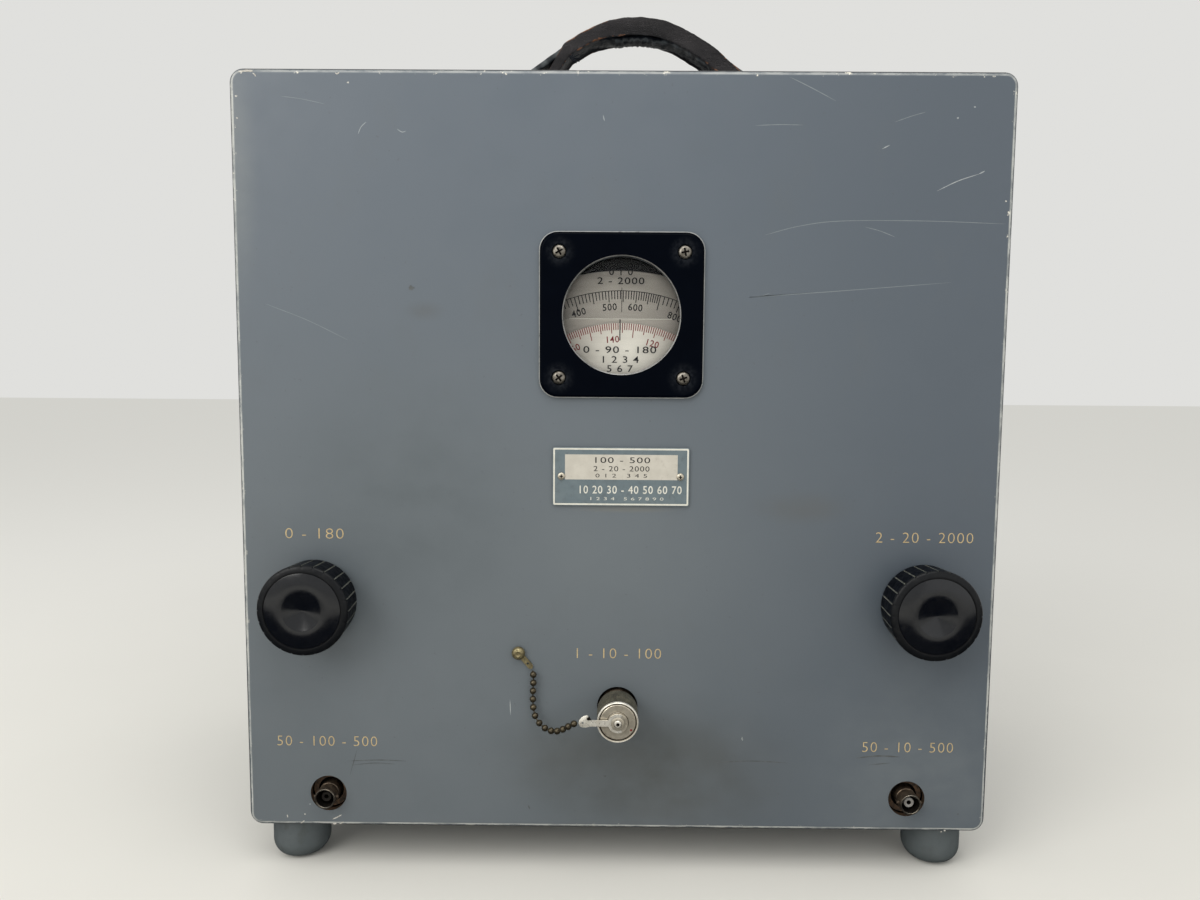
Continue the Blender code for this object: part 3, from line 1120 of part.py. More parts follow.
def make_port(panel):
    """The capped port: its connector, the screw-on cap with its rivet, and the lug that the chain holds."""
    seat = SEAT - CHASSIS_DEPTH
    flange = seat + PORT_FLANGE_THICKNESS
    floor = PORT_FRONT - PORT_BORE_DEPTH
    tail = -CHASSIS_DEPTH - CHASSIS_THICKNESS
    profile = [(0, floor + PORT_BORE_DEPTH / 2), (PORT_CONTACT_RADIUS, floor + PORT_BORE_DEPTH / 2)]
    profile += [(PORT_CONTACT_RADIUS, floor), (PORT_BORE_RADIUS, floor), (PORT_BORE_RADIUS, PORT_FRONT)]
    profile += [(PORT_THREAD_RADIUS, PORT_FRONT), (PORT_THREAD_RADIUS, flange), (PORT_FLANGE_RADIUS, flange)]
    profile += [(PORT_FLANGE_RADIUS, seat), (PORT_THREAD_RADIUS, seat), (PORT_THREAD_RADIUS, tail), (0, tail)]
    mesh = turned_mesh("unknown_connector", profile)
    add_object("unknown_connector", mesh, "tarnished_brass", panel, (0, PORT_UP, 0))

    axis = make_frame("cap_axis", (0, PORT_UP, 0))
    axis.parent = panel
    bore = PORT_THREAD_RADIUS + RUNNING
    face = CAP_FRONT - CAP_FACE_DROP
    ceiling = face - CAP_FACE_THICKNESS
    low = CAP_FRONT + SEAT
    rivet_seat = low + LUG_THICKNESS + SEAT
    rivet_top = rivet_seat + RIVET_HEAD_HEIGHT
    knurl = CAP_RADIUS - CAP_GROOVE
    profile = [(0, ceiling), (bore, ceiling), (bore, CAP_BACK), (CAP_RADIUS - CAP_GROOVE, CAP_BACK)]
    profile += [(CAP_RADIUS, CAP_BACK + CAP_GROOVE), (CAP_RADIUS, CAP_KNURL_FRONT - CAP_GROOVE)]
    profile += [(knurl, CAP_KNURL_FRONT), (CAP_RADIUS, CAP_KNURL_FRONT + CAP_GROOVE)]
    profile += [(CAP_RADIUS, CAP_FRONT - CAP_GROOVE), (knurl, CAP_FRONT), (CAP_RADIUS - CAP_RIM, CAP_FRONT)]
    profile += [(CAP_RADIUS - CAP_RIM, face), (RIVET_RADIUS, face), (RIVET_RADIUS, rivet_seat)]
    profile += [(RIVET_HEAD_RADIUS, rivet_seat), (RIVET_HEAD_RADIUS - RIVET_HEAD_HEIGHT / 2, rivet_top)]
    profile += [(RIVET_DIMPLE_RADIUS, rivet_top), (0, rivet_top - RIVET_DIMPLE_DEPTH)]
    add_object("cap_nut", turned_mesh("cap_nut", profile), "nickel", axis)

    inner = RIVET_RADIUS + RUNNING
    half = LUG_ARM_HALF
    outline = arc_points((0, 0), LUG_RADIUS, radians(198.5), radians(521.5), 20)
    outline += [(-LUG_REACH, half), (-LUG_REACH, -half)]
    lug = add_object("cap_lug", extruded_mesh("cap_lug", outline, low, low + LUG_THICKNESS), "nickel", axis)
    eyes = bmesh.new()
    high = low + LUG_THICKNESS
    start = (-LUG_REACH, 0, low - LUG_EYE_REACH)
    add_drill(eyes, LUG_EYE_RADIUS, start, (-LUG_REACH, 0, high + LUG_EYE_REACH))
    apply_boolean(lug, eyes, "UNION", "lug_eye")
    bore = bmesh.new()
    add_drill(bore, inner, (0, 0, low - CUT_OVERRUN), (0, 0, high + CUT_OVERRUN))
    apply_boolean(lug, bore, "DIFFERENCE", "lug_bore")


def make_chain(panel):
    """The bead chain from its screw beside the port to the cap's lug."""
    place = (CHAIN_SCREW_X, CHAIN_SCREW_UP, 0)
    under_head = SEAT + CHAIN_LUG_THICKNESS + SEAT
    length = under_head + CASE_WALL + SEAT
    sizes = (CHAIN_SCREW_HEAD, CHAIN_SCREW_HEIGHT, CHAIN_SCREW_RADIUS, length, under_head)
    mesh = screw_mesh("chain_screw", *sizes)
    add_object("chain_screw", mesh, "brass", panel, place)

    half = CHAIN_LUG_HALF
    outline = arc_points((0, 0), CHAIN_LUG_RADIUS, radians(27), radians(333), 16)
    outline += arc_points((CHAIN_LUG_REACH, 0), half, -pi / 2, pi / 2, 6)
    mesh = extruded_mesh("chain_lug", outline, SEAT, SEAT + CHAIN_LUG_THICKNESS)
    lug = add_object("chain_lug", mesh, "brass", panel, place, (0, 0, CHAIN_LUG_TURN))
    bore = bmesh.new()
    start = (CHAIN_SCREW_X, CHAIN_SCREW_UP, -CUT_OVERRUN)
    end = (CHAIN_SCREW_X, CHAIN_SCREW_UP, CHAIN_LUG_THICKNESS + CUT_OVERRUN)
    add_drill(bore, CHAIN_SCREW_RADIUS + RUNNING, start, end)
    apply_boolean(lug, bore, "DIFFERENCE", "chain_lug_bore")

    reach = CHAIN_LUG_REACH + CHAIN_LUG_HALF + LINK_SHARE * BEAD_RADIUS
    out = BEAD_RADIUS + CHAIN_LUG_THICKNESS + SEAT
    start = Vector((reach * cos(CHAIN_LUG_TURN), reach * sin(CHAIN_LUG_TURN), out))
    end = (-LUG_REACH - LUG_EYE_RADIUS - SEAT - LINK_SHARE * BEAD_RADIUS, PORT_UP, CAP_FRONT)
    route = smooth_route(route_between(start + Vector(place), end, CHAIN_SHARES), 8)
    add_object("retaining_chain", bead_curve(route), "tarnished_brass", panel)


def bead_curve(route):
    """A tube that swells into a bead at each pitch along the route."""
    reached = [0.0]
    for before, after in zip(route, route[1:]):
        reached.append(reached[-1] + (after - before).length)
    total = round(reached[-1] / BEAD_PITCH) * BEAD_STEPS
    swell = [max(sin(pi * (step + 0.5) / BEAD_STEPS), LINK_SHARE) for step in range(BEAD_STEPS)]
    points = []
    later = 1
    for index in range(total):
        wanted = reached[-1] * index / (total - 1)
        while later < len(route) - 1 and reached[later] < wanted:
            later += 1
        span = reached[later] - reached[later - 1]
        points.append(route[later - 1].lerp(route[later], (wanted - reached[later - 1]) / span))
    shares = [swell[index % BEAD_STEPS] for index in range(total)]
    return tube_curve("retaining_chain", points, BEAD_RADIUS, 1, shares=shares)


def make_jacks(panel):
    """The two small bayonet jacks on the chassis, seen through clearance holes, and their inner leads."""
    seat = SEAT - CHASSIS_DEPTH
    flange = seat + JACK_FLANGE_THICKNESS
    floor = JACK_FRONT - JACK_BORE_DEPTH
    shell = [(0, floor), (JACK_BORE, floor), (JACK_BORE, JACK_FRONT), (JACK_RADIUS, JACK_FRONT)]
    shell += [(JACK_RADIUS, -JACK_BODY_FRONT), (JACK_BODY_RADIUS, -JACK_BODY_FRONT)]
    shell += [(JACK_BODY_RADIUS, flange), (JACK_FLANGE_RADIUS, flange)]
    shell += [(JACK_FLANGE_RADIUS, seat), (JACK_THREAD_RADIUS, seat)]
    shell += [(JACK_THREAD_RADIUS, -JACK_TAIL), (0, -JACK_TAIL)]
    top = floor + SEAT + INSULATOR_HEIGHT
    core = [(0, top - INSULATOR_BORE_DEPTH), (INSULATOR_BORE, top - INSULATOR_BORE_DEPTH)]
    core += [(INSULATOR_BORE, top), (INSULATOR_RADIUS, top), (INSULATOR_RADIUS, floor + SEAT)]
    core += [(0, floor + SEAT)]
    spindle_end = -LINE_BACK_DEPTH - LINE_BASE_THICKNESS - SPINDLE_TAIL
    block_end = (-BLOCK_HALF_WIDTH - SEAT, BLOCK_BOTTOM_UP + LEAD_END_RISE, -CHASSIS_DEPTH - LEAD_END_DEPTH)
    probe_end = (DIAL_X, DIAL_UP, spindle_end - SEAT)
    jacks = (
        ("generator", GENERATOR_X, block_end, GENERATOR_SHARES, "dark_insulator"),
        ("detector", DETECTOR_X, probe_end, DETECTOR_SHARES, "insulator"),
    )
    for name, x, end, shares, lining in jacks:
        mesh = turned_mesh(f"{name}_jack", shell, SMALL_STEPS)
        add_object(f"{name}_jack", mesh, "tarnished_brass", panel, (x, JACK_UP, 0))
        mesh = turned_mesh(f"{name}_insulator", core, TINY_STEPS)
        add_object(f"{name}_insulator", mesh, lining, panel, (x, JACK_UP, 0))
        route = route_between((x, JACK_UP, -JACK_TAIL - SEAT), end, shares)
        curve = tube_curve(f"{name}_lead", smooth_route(route, LEAD_STEPS), LEAD_RADIUS, 2)
        add_object(f"{name}_lead", curve, "cable", panel)


panel_frame = make_frame("panel_frame", (0, FACE_Y, FOOT_HEIGHT + SEAT), (pi / 2, 0, 0))
make_case(panel_frame)
make_rear_cover(panel_frame)
make_feet(panel_frame)
make_handle()
make_window(panel_frame)
make_nameplate(panel_frame)
make_controls(panel_frame)
make_dials(panel_frame)
make_attenuators(panel_frame)
make_chassis(panel_frame)
make_phase_line(panel_frame)
make_drive_cords(panel_frame)
make_port(panel_frame)
make_chain(panel_frame)
make_jacks(panel_frame)
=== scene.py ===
"""A portable VHF impedance bridge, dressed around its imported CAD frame.

Metres, +Z up, the front panel faces -Y. Most pieces are built in millimetres in the panel's own frame:
X right, Y up from the panel's lower edge, Z out from its face.
"""

from math import acos, atan2, cos, floor, hypot, log10, pi, radians, sin, sqrt

import bmesh
import bpy
from mathutils import Matrix, Vector, noise


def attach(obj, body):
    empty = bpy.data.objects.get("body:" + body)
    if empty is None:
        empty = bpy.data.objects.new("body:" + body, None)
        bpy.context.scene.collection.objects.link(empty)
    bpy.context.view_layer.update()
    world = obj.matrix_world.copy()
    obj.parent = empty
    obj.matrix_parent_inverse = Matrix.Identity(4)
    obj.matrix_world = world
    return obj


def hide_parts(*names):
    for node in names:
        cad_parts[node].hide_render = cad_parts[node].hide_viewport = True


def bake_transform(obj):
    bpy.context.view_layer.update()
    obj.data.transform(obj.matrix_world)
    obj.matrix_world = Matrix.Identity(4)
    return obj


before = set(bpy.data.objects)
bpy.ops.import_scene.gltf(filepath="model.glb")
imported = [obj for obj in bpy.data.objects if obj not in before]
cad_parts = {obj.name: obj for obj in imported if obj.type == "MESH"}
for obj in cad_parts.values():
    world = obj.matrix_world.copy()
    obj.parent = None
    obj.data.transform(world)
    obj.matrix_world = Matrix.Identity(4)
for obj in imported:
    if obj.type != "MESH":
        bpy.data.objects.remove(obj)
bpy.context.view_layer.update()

MM = 0.001
FACE_Y = -0.0992
BASE = 0.0223
CASE_TOP = 0.3779
PANEL = Matrix.Translation((0, FACE_Y, BASE)) @ Matrix.Rotation(pi / 2, 4, "X") @ Matrix.Scale(MM, 4)
HANDLE = Matrix.Translation((0, 0.00875, CASE_TOP)) @ Matrix.Scale(MM, 4)
CASE_SIDE = 355.6
WINDOW_X, WINDOW_UP, WINDOW_RADIUS = 0.3, 246.0, 26.65
BEZEL_SCREW_HALF = 28.575
CASE_DEPTH = 215.9

# Camera

EYE = Vector((-0.006415, -0.517091, 0.244316))
FOCAL_PIXELS = 902.0
PICTURE_WIDTH, PICTURE_HEIGHT = 1200, 900
SENSOR_WIDTH = 36.0


def camera_axes():
    """The camera's right, down and forward directions."""
    yaw, pitch, roll = -0.006447, 0.090687, -0.007171
    forward = Vector((sin(yaw) * cos(pitch), cos(yaw) * cos(pitch), -sin(pitch)))
    level = Vector((cos(yaw), -sin(yaw), 0))
    below = forward.cross(level)
    right = level * cos(roll) + below * sin(roll)
    down = below * cos(roll) - level * sin(roll)
    return right, down, forward


def make_camera():
    data = bpy.data.cameras.new("camera")
    data.sensor_width = SENSOR_WIDTH
    data.lens = FOCAL_PIXELS * SENSOR_WIDTH / PICTURE_WIDTH
    data.clip_start = 0.01
    camera = bpy.data.objects.new("camera", data)
    bpy.context.scene.collection.objects.link(camera)
    right, down, forward = camera_axes()
    turn = Matrix((right, -down, -forward)).transposed().to_4x4()
    camera.matrix_world = Matrix.Translation(EYE) @ turn
    bpy.context.scene.camera = camera


def seen(u, v, out=0.0):
    """The panel place, across and up in millimetres, that shows at a pixel of the picture."""
    right, down, forward = camera_axes()
    ray = forward * FOCAL_PIXELS + right * (u - PICTURE_WIDTH / 2) + down * (v - PICTURE_HEIGHT / 2)
    point = EYE + ray * ((FACE_Y - out * MM - EYE.y) / ray.y)
    return point.x / MM, (point.z - BASE) / MM


# Node materials


class Finish:
    """One procedural material, built node by node around its principled shader."""

    def __init__(self, name, roughness=0.5, metallic=0.0, **sockets):
        self.material = bpy.data.materials.new(name)
        self.material.use_nodes = True
        self.tree = self.material.node_tree
        self.shader = self.tree.nodes["Principled BSDF"]
        self.shader.inputs["Roughness"].default_value = roughness
        self.shader.inputs["Metallic"].default_value = metallic
        for socket, value in sockets.items():
            self.shader.inputs[socket.replace("_", " ")].default_value = value
        self.place = self.tree.nodes.new("ShaderNodeTexCoord").outputs["Object"]

    def node(self, kind, values, **settings):
        made = self.tree.nodes.new("ShaderNode" + kind)
        for name, value in settings.items():
            setattr(made, name, value)
        for socket, value in values.items():
            if isinstance(value, bpy.types.NodeSocket):
                self.tree.links.new(value, made.inputs[socket])
            else:
                made.inputs[socket].default_value = value
        return made

    def noise(self, scale, detail=3.0, stretch=(1, 1, 1), roughness=0.55):
        """A noise's value, with the given count of features to a metre."""
        place = self.node("Mapping", {"Vector": self.place, "Scale": stretch}).outputs[0]
        values = {"Vector": place, "Scale": scale, "Detail": detail, "Roughness": roughness}
        return self.node("TexNoise", values).outputs[0]

    def step(self, value, low, high, start=0.0, end=1.0):
        """Map a value from low..high to start..end, and hold it there."""
        values = {"Value": value, "From Min": low, "From Max": high, "To Min": start, "To Max": end}
        return self.node("MapRange", values, interpolation_type="SMOOTHSTEP").outputs[0]

    def maths(self, operation, *values):
        return self.node("Math", dict(enumerate(values)), operation=operation).outputs[0]

    def times(self, first, second):
        return self.maths("MULTIPLY", first, second)

    def plus(self, first, second):
        return self.maths("ADD", first, second)

    def minus(self, first, second):
        return self.maths("SUBTRACT", first, second)

    def mix(self, share, first, second):
        """Mix two colours, each a colour or a socket."""
        values = {0: share}
        for slot, colour in ((6, first), (7, second)):
            values[slot] = colour if isinstance(colour, bpy.types.NodeSocket) else (*colour, 1.0)
        return self.node("Mix", values, data_type="RGBA").outputs[2]

    def axis(self, name):
        return self.node("SeparateXYZ", {0: self.place}).outputs[name]

    def spot(self, place, size):
        """1 at a place, fading out over an ellipsoid of the given half sizes."""
        shifted = self.node("Mapping", {"Vector": self.place, "Location": place}, vector_type="TEXTURE")
        shifted.inputs["Scale"].default_value = size
        length = self.node("VectorMath", {0: shifted.outputs[0]}, operation="LENGTH").outputs["Value"]
        return self.step(length, 0.0, 1.0, 1.0, 0.0)

    def colour(self, value):
        self.tree.links.new(value, self.shader.inputs["Base Color"])

    def rough(self, value):
        self.tree.links.new(value, self.shader.inputs["Roughness"])

    def bump(self, height, distance, strength=1.0):
        made = self.node("Bump", {"Height": height, "Distance": distance, "Strength": strength})
        self.tree.links.new(made.outputs[0], self.shader.inputs["Normal"])


def worn(name, first, second, scale, rough, metallic=0.0, dirt=None, dirt_share=0.4, grain=None, **sockets):
    """Two tones in soft patches, dirt in blotches and a fine grain in the surface."""
    finish = Finish(name, rough, metallic, **sockets)
    patches = finish.step(finish.noise(scale), 0.3, 0.7)
    colour = finish.mix(patches, first, second)
    if dirt:
        blotches = finish.noise(scale * 2.3, 6.0, (1.0, 1.3, 0.8), 0.65)
        colour = finish.mix(finish.step(blotches, 0.62 - dirt_share / 3, 0.75, 0.0, 0.85), colour, dirt)
    finish.colour(colour)
    finish.rough(finish.step(finish.noise(scale * 3.1, 4.0), 0.25, 0.75, rough * 0.8, min(rough * 1.3, 1.0)))
    fine, depth = grain or (2500.0, 0.00002)
    finish.bump(finish.noise(fine, 4.0), depth)
    return finish.material


def case_paint():
    """Blue-grey satin enamel: mottling, stains, paler patches and edges rubbed to the primer; painted shade
    to the top and right and on the rolled edge, a painted sheen on the upper left edge and a painted
    highlight along the rubbed line.
    """
    finish = Finish("case_enamel", 0.4, 0.0, Specular_IOR_Level=0.45)
    mottle = finish.step(finish.noise(9.0, 3.0), 0.3, 0.7)
    colour = finish.mix(mottle, (0.117, 0.136, 0.151), (0.126, 0.145, 0.160))
    # Painted shade: darker and bluer towards the top, and darker still towards the right, where the light
    # falls off.
    colour = finish.mix(finish.step(finish.axis("Z"), 0.12, 0.36, 0.0, 0.85), colour, (0.095, 0.116, 0.143))
    colour = finish.mix(finish.step(finish.axis("X"), -0.03, 0.17, 0.0, 0.85), colour, (0.070, 0.087, 0.109))
    grime = finish.step(finish.noise(38.0, 6.0, (1, 1, 0.7), 0.65), 0.52, 0.8, 0.0, 0.2)
    colour = finish.mix(grime, colour, (0.098, 0.108, 0.110))
    specks = finish.step(finish.noise(520.0, 2.0), 0.72, 0.77, 0.0, 0.35)
    colour = finish.mix(specks, colour, (0.07, 0.072, 0.072))
    # Stains, paler patches and a painted sheen, from the table above.
    for (x, z), (wide, high), tone, share in STAINS_PATCHES_AND_SHEEN:
        cloud = finish.step(finish.noise(45.0, 5.0, (1, 1, 1.3)), 0.25, 0.75, 0.5, 1.0)
        amount = finish.times(finish.spot((x, FACE_Y, z), (wide, PATCH_DEPTH, high)), cloud)
        colour = finish.mix(finish.times(amount, share), colour, tone)
    front = finish.minus(finish.axis("Y"), FACE_Y)
    side = finish.minus(CASE_SIDE / 2 * MM, finish.maths("ABSOLUTE", finish.axis("X")))
    top = finish.minus(CASE_TOP, finish.axis("Z"))
    foot = finish.minus(finish.axis("Z"), BASE)
    near_side = finish.maths("MINIMUM", side, finish.maths("MINIMUM", top, foot))
    # A dark band on the outer part of the rolled edge, where it turns away from the light: painted shade.
    shade = finish.times(finish.step(front, 0.00060, 0.00085), finish.step(front, 0.0019, 0.0027, 1.0, 0.0))
    shade = finish.times(shade, finish.step(near_side, 0.0022, 0.0030, 1.0, 0.0))
    colour = finish.mix(finish.times(shade, 0.85), colour, (0.022, 0.021, 0.021))
    # A pale ragged line along the front of the rolled edge, paler on the sides than on top: paint rubbed to
    # the primer together with a painted highlight.
    ragged = finish.step(finish.noise(130.0, 6.0, (1, 1, 1), 0.7), 0.3, 0.7, -0.00025, 0.00020)
    low = finish.step(finish.axis("Z"), 0.03, 0.16, -0.0002, 0.0)
    limit = finish.plus(finish.plus(0.00066, ragged), low)
    rolled = finish.step(front, 0.00003, 0.00012)
    rubbed = finish.times(rolled, finish.step(finish.minus(limit, front), 0.0, 0.00008))
    beside = finish.step(finish.minus(side, top), -0.001, 0.001, 0.95, 0.55)
    broken = finish.times(beside, finish.step(finish.noise(75.0, 5.0, (1, 1, 1), 0.7), 0.36, 0.60, 0.35, 1.0))
    colour = finish.mix(finish.times(rubbed, broken), colour, (0.46, 0.47, 0.45))
    flaked = finish.step(finish.noise(240.0, 5.0, (1, 1, 1), 0.7), 0.60, 0.66)
    depth = finish.plus(front, near_side)
    flaked = finish.times(flaked, finish.step(finish.minus(0.0031, depth), 0.0, 0.0003))
    flaked = finish.times(flaked, finish.step(front, 0.0008, 0.0010, 1.0, 0.0))
    flaked = finish.times(flaked, finish.step(finish.axis("Z"), 0.2, 0.36, 0.25, 1.0))
    colour = finish.mix(flaked, colour, (0.72, 0.69, 0.60))
    finish.colour(colour)
    finish.rough(finish.step(finish.noise(55.0, 5.0), 0.3, 0.7, 0.34, 0.48))
    peel = finish.noise(620.0, 2.0)
    finish.bump(finish.plus(peel, finish.noise(5200.0, 2.0)), 0.000022)
    return finish.material


def leather():
    """Black grained leather, rubbed to orange-brown where its vertices say it is an edge."""
    finish = Finish("handle_leather", 0.58, 0.0, Specular_IOR_Level=0.3)
    tone = finish.step(finish.noise(60.0, 5.0, (0.35, 1, 1)), 0.3, 0.72)
    colour = finish.mix(tone, (0.011, 0.0100, 0.0115), (0.034, 0.031, 0.033))
    streaks = finish.step(finish.noise(260.0, 4.0, (0.10, 1, 1), 0.6), 0.52, 0.7, 0.0, 0.75)
    colour = finish.mix(streaks, colour, (0.006, 0.0055, 0.0065))
    edge = finish.node("Attribute", {}, attribute_name="edge").outputs["Fac"]
    ragged = finish.step(finish.noise(420.0, 6.0, (0.5, 1, 1), 0.7), 0.34, 0.66, -0.42, 0.25)
    share = finish.step(finish.plus(edge, ragged), 0.62, 0.86, 0.0, 0.9)
    colour = finish.mix(share, colour, (0.23, 0.10, 0.048))
    lint = finish.step(finish.noise(1300.0, 3.0), 0.70, 0.78, 0.0, 0.5)
    colour = finish.mix(lint, colour, (0.12, 0.095, 0.08))
    finish.colour(colour)
    finish.rough(finish.step(finish.noise(90.0, 4.0), 0.3, 0.7, 0.46, 0.7))
    cell = finish.node(
        "TexVoronoi", {"Vector": finish.place, "Scale": 1100.0}, feature="DISTANCE_TO_EDGE"
    ).outputs[0]
    creases = finish.noise(130.0, 5.0, (0.25, 1, 1.6), 0.6)
    height = finish.plus(finish.step(cell, 0.0, 0.25, 0.0, 0.3), creases)
    finish.bump(height, 0.0013, 0.9)
    return finish.material


def lining():
    """The softer, shinier leather of the strap and of the strip under the sleeve, cracked across; its grey
    tone follows each point's share, worn leather on the strap and a painted sheen on the strip.
    """
    finish = Finish("handle_lining", 0.4, 0.0, Specular_IOR_Level=0.12)
    streaks = finish.noise(120.0, 6.0, (0.7, 1, 1), 0.65)
    colour = finish.mix(finish.step(streaks, 0.4, 0.75), (0.0022, 0.0034, 0.0065), (0.011, 0.015, 0.021))
    edge = finish.node("Attribute", {}, attribute_name="edge").outputs["Fac"]
    # The edge attribute greys the leather: wear on the strap, a painted sheen on the strip.
    colour = finish.mix(finish.step(edge, 0.3, 0.9, 0.0, 0.7), colour, (0.16, 0.175, 0.18))
    finish.colour(colour)
    finish.bump(finish.noise(150.0, 6.0, (0.6, 1, 1), 0.65), 0.0022, 0.8)
    return finish.material


def clear(name, tint, share, rough):
    """Clear sheet: nearly see-through, with faint haze and dust."""
    finish = Finish(name, rough, 0.0, Alpha=share, Specular_IOR_Level=1.0)
    dust = finish.step(finish.noise(300.0, 5.0, (1, 1, 1), 0.7), 0.66, 0.9)
    finish.colour(finish.mix(dust, tint, (0.12, 0.12, 0.11)))
    finish.rough(finish.step(finish.noise(40.0, 4.0), 0.3, 0.7, rough, rough + 0.05))
    return finish.material


def bezel_enamel():
    """Near-black enamel with a dusty halo round each of its screws."""
    finish = Finish("bezel_enamel", 0.16, 0.0, Specular_IOR_Level=0.02)
    colour = finish.mix(finish.noise(90.0), (0.0006, 0.0012, 0.0028), (0.0012, 0.0021, 0.0047))
    cloud = finish.step(finish.noise(700.0, 4.0), 0.35, 0.7, 0.2, 1.0)
    for x in (-BEZEL_SCREW_HALF, BEZEL_SCREW_HALF):
        for up in (-BEZEL_SCREW_HALF, BEZEL_SCREW_HALF):
            place = ((WINDOW_X + x) * MM, FACE_Y, BASE + (WINDOW_UP + up) * MM)
            halo = finish.times(finish.spot(place, (0.0088, 0.01, 0.0088)), cloud)
            colour = finish.mix(finish.times(halo, 0.75), colour, (0.034, 0.038, 0.045))
    finish.colour(colour)
    return finish.material


def spun_metal(name, bright, dull, rough, centre, metallic=0.6):
    """Sheet metal brushed along X, with painted light brightest at a centre and painted shade darkening it
    towards its sides.
    """
    finish = Finish(name, rough, metallic)
    lines = finish.noise(420.0, 3.0, (0.04, 1, 1))
    tone = finish.step(lines, 0.25, 0.75, 0.0, 0.6)
    # Painted light at the centre, fading to painted shade at the sides.
    painted_light = finish.spot(centre[:3], centre[3:])
    colour = finish.mix(painted_light, dull, bright)
    colour = finish.mix(finish.times(tone, 0.35), colour, dull)
    finish.colour(colour)
    finish.rough(finish.step(lines, 0.2, 0.8, rough - 0.06, rough + 0.1))
    finish.bump(lines, 0.00001)
    return finish.material


# Stains, paler patches and a painted sheen on the panel: place across and up, half sizes, tone and share, in
# metres

PATCH_DEPTH = 0.02
STAINS_PATCHES_AND_SHEEN = (
    ((0.020, 0.050), (0.085, 0.048), (0.066, 0.069, 0.064), 0.8),
    # Broad paler patches at the lower right and lower left.
    ((0.145, 0.045), (0.078, 0.085), (0.138, 0.158, 0.172), 0.85),
    ((-0.145, 0.045), (0.075, 0.060), (0.128, 0.146, 0.158), 0.6),
    ((-0.02, 0.058), (0.060, 0.030), (0.078, 0.082, 0.078), 0.4),
    ((-0.100, 0.180), (0.090, 0.085), (0.084, 0.101, 0.111), 0.75),
    ((0.085, 0.180), (0.030, 0.010), (0.090, 0.088, 0.080), 0.55),
    ((0.002, 0.1785), (0.030, 0.0022), (0.20, 0.175, 0.12), 0.5),
    ((-0.09, 0.270), (0.012, 0.006), (0.085, 0.09, 0.09), 0.6),
    # A broad paler patch in the middle.
    ((0.0, 0.165), (0.070, 0.060), (0.135, 0.155, 0.166), 0.45),
    # A narrow pale band down the upper left edge: a painted sheen.
    ((-0.176, 0.330), (0.013, 0.075), (0.175, 0.192, 0.196), 0.7),
)
PAINT = case_paint()
RAW_HOLE = worn(
    "hole_edge", (0.15, 0.088, 0.048), (0.05, 0.037, 0.028), 700.0, 0.6, 0.3, (0.03, 0.026, 0.022)
)
FOOT = worn(
    "foot_enamel", (0.084, 0.099, 0.104), (0.100, 0.116, 0.122), 60.0, 0.42, 0.0, (0.075, 0.085, 0.085)
)
ENAMEL = bezel_enamel()
RIM = worn("bezel_rim", (0.30, 0.30, 0.29), (0.20, 0.20, 0.195), 200.0, 0.3, 0.5)
STEEL = worn(
    "screw_steel", (0.36, 0.33, 0.28), (0.22, 0.19, 0.15), 500.0, 0.34, 1.0, (0.05, 0.035, 0.022), 0.5
)
# Near-black painted shade for screw recesses, the cap's grooves and rings, the lug's notch and the insides of
# holes and bores.
RECESS_SHADE = worn(
    "screw_recess", (0.004, 0.0035, 0.003), (0.010, 0.008, 0.006), 600.0, 0.8, 0.0, Specular_IOR_Level=0.1
)
BRONZE = worn(
    "bezel_screw_steel", (0.29, 0.27, 0.235), (0.14, 0.125, 0.105), 420.0, 0.36, 0.9, (0.024, 0.018, 0.013),
    0.5
)
WIRE = worn("ring_steel", (0.45, 0.43, 0.39), (0.30, 0.27, 0.23), 140.0, 0.36, 1.0, (0.13, 0.08, 0.045), 0.3)
BRASS = worn(
    "screw_brass", (0.42, 0.36, 0.20), (0.24, 0.20, 0.11), 420.0, 0.42, 0.85, (0.09, 0.075, 0.04), 0.5
)
BEAD = worn(
    "bead_brass", (0.115, 0.094, 0.058), (0.060, 0.050, 0.034), 350.0, 0.34, 0.8, (0.026, 0.021, 0.015), 0.5,
    (900.0, 0.00001)
)
NICKEL = worn(
    "cap_nickel", (0.64, 0.585, 0.48), (0.54, 0.49, 0.395), 260.0, 0.34, 0.75, (0.36, 0.31, 0.24), 0.25,
    (500.0, 0.000006)
)
BRIGHT = worn(
    "cap_bright", (0.86, 0.83, 0.75), (0.74, 0.70, 0.61), 300.0, 0.3, 0.6, (0.50, 0.45, 0.36), 0.2,
    (500.0, 0.000003)
)
KNURL = worn(
    "cap_knurl", (0.29, 0.265, 0.19), (0.17, 0.155, 0.115), 300.0, 0.42, 0.8, (0.045, 0.04, 0.03), 0.5
)
JACK = worn(
    "jack_brass", (0.18, 0.135, 0.095), (0.065, 0.050, 0.038), 350.0, 0.44, 0.8, (0.03, 0.02, 0.014), 0.5
)
WHITE = worn(
    "white_insulator", (0.36, 0.355, 0.345), (0.27, 0.26, 0.245), 500.0, 0.45, 0.0, (0.2, 0.17, 0.13), 0.4
)
DARK = worn(
    "dark_insulator_plastic", (0.014, 0.012, 0.010), (0.024, 0.020, 0.017), 500.0, 0.5, Specular_IOR_Level=0.2
)
PLASTIC = worn(
    "knob_bakelite", (0.0012, 0.0018, 0.0042), (0.0022, 0.0032, 0.0062), 120.0, 0.4, 0.0,
    (0.006, 0.007, 0.010), 0.3, (900.0, 0.000004), Specular_IOR_Level=0.03
)
KNOB_FACE = worn(
    "knob_turned_face", (0.0020, 0.0027, 0.0048), (0.0035, 0.0042, 0.0062), 120.0, 0.17, 0.0,
    (0.007, 0.0075, 0.009), 0.3, (900.0, 0.000003), Specular_IOR_Level=0.46
)
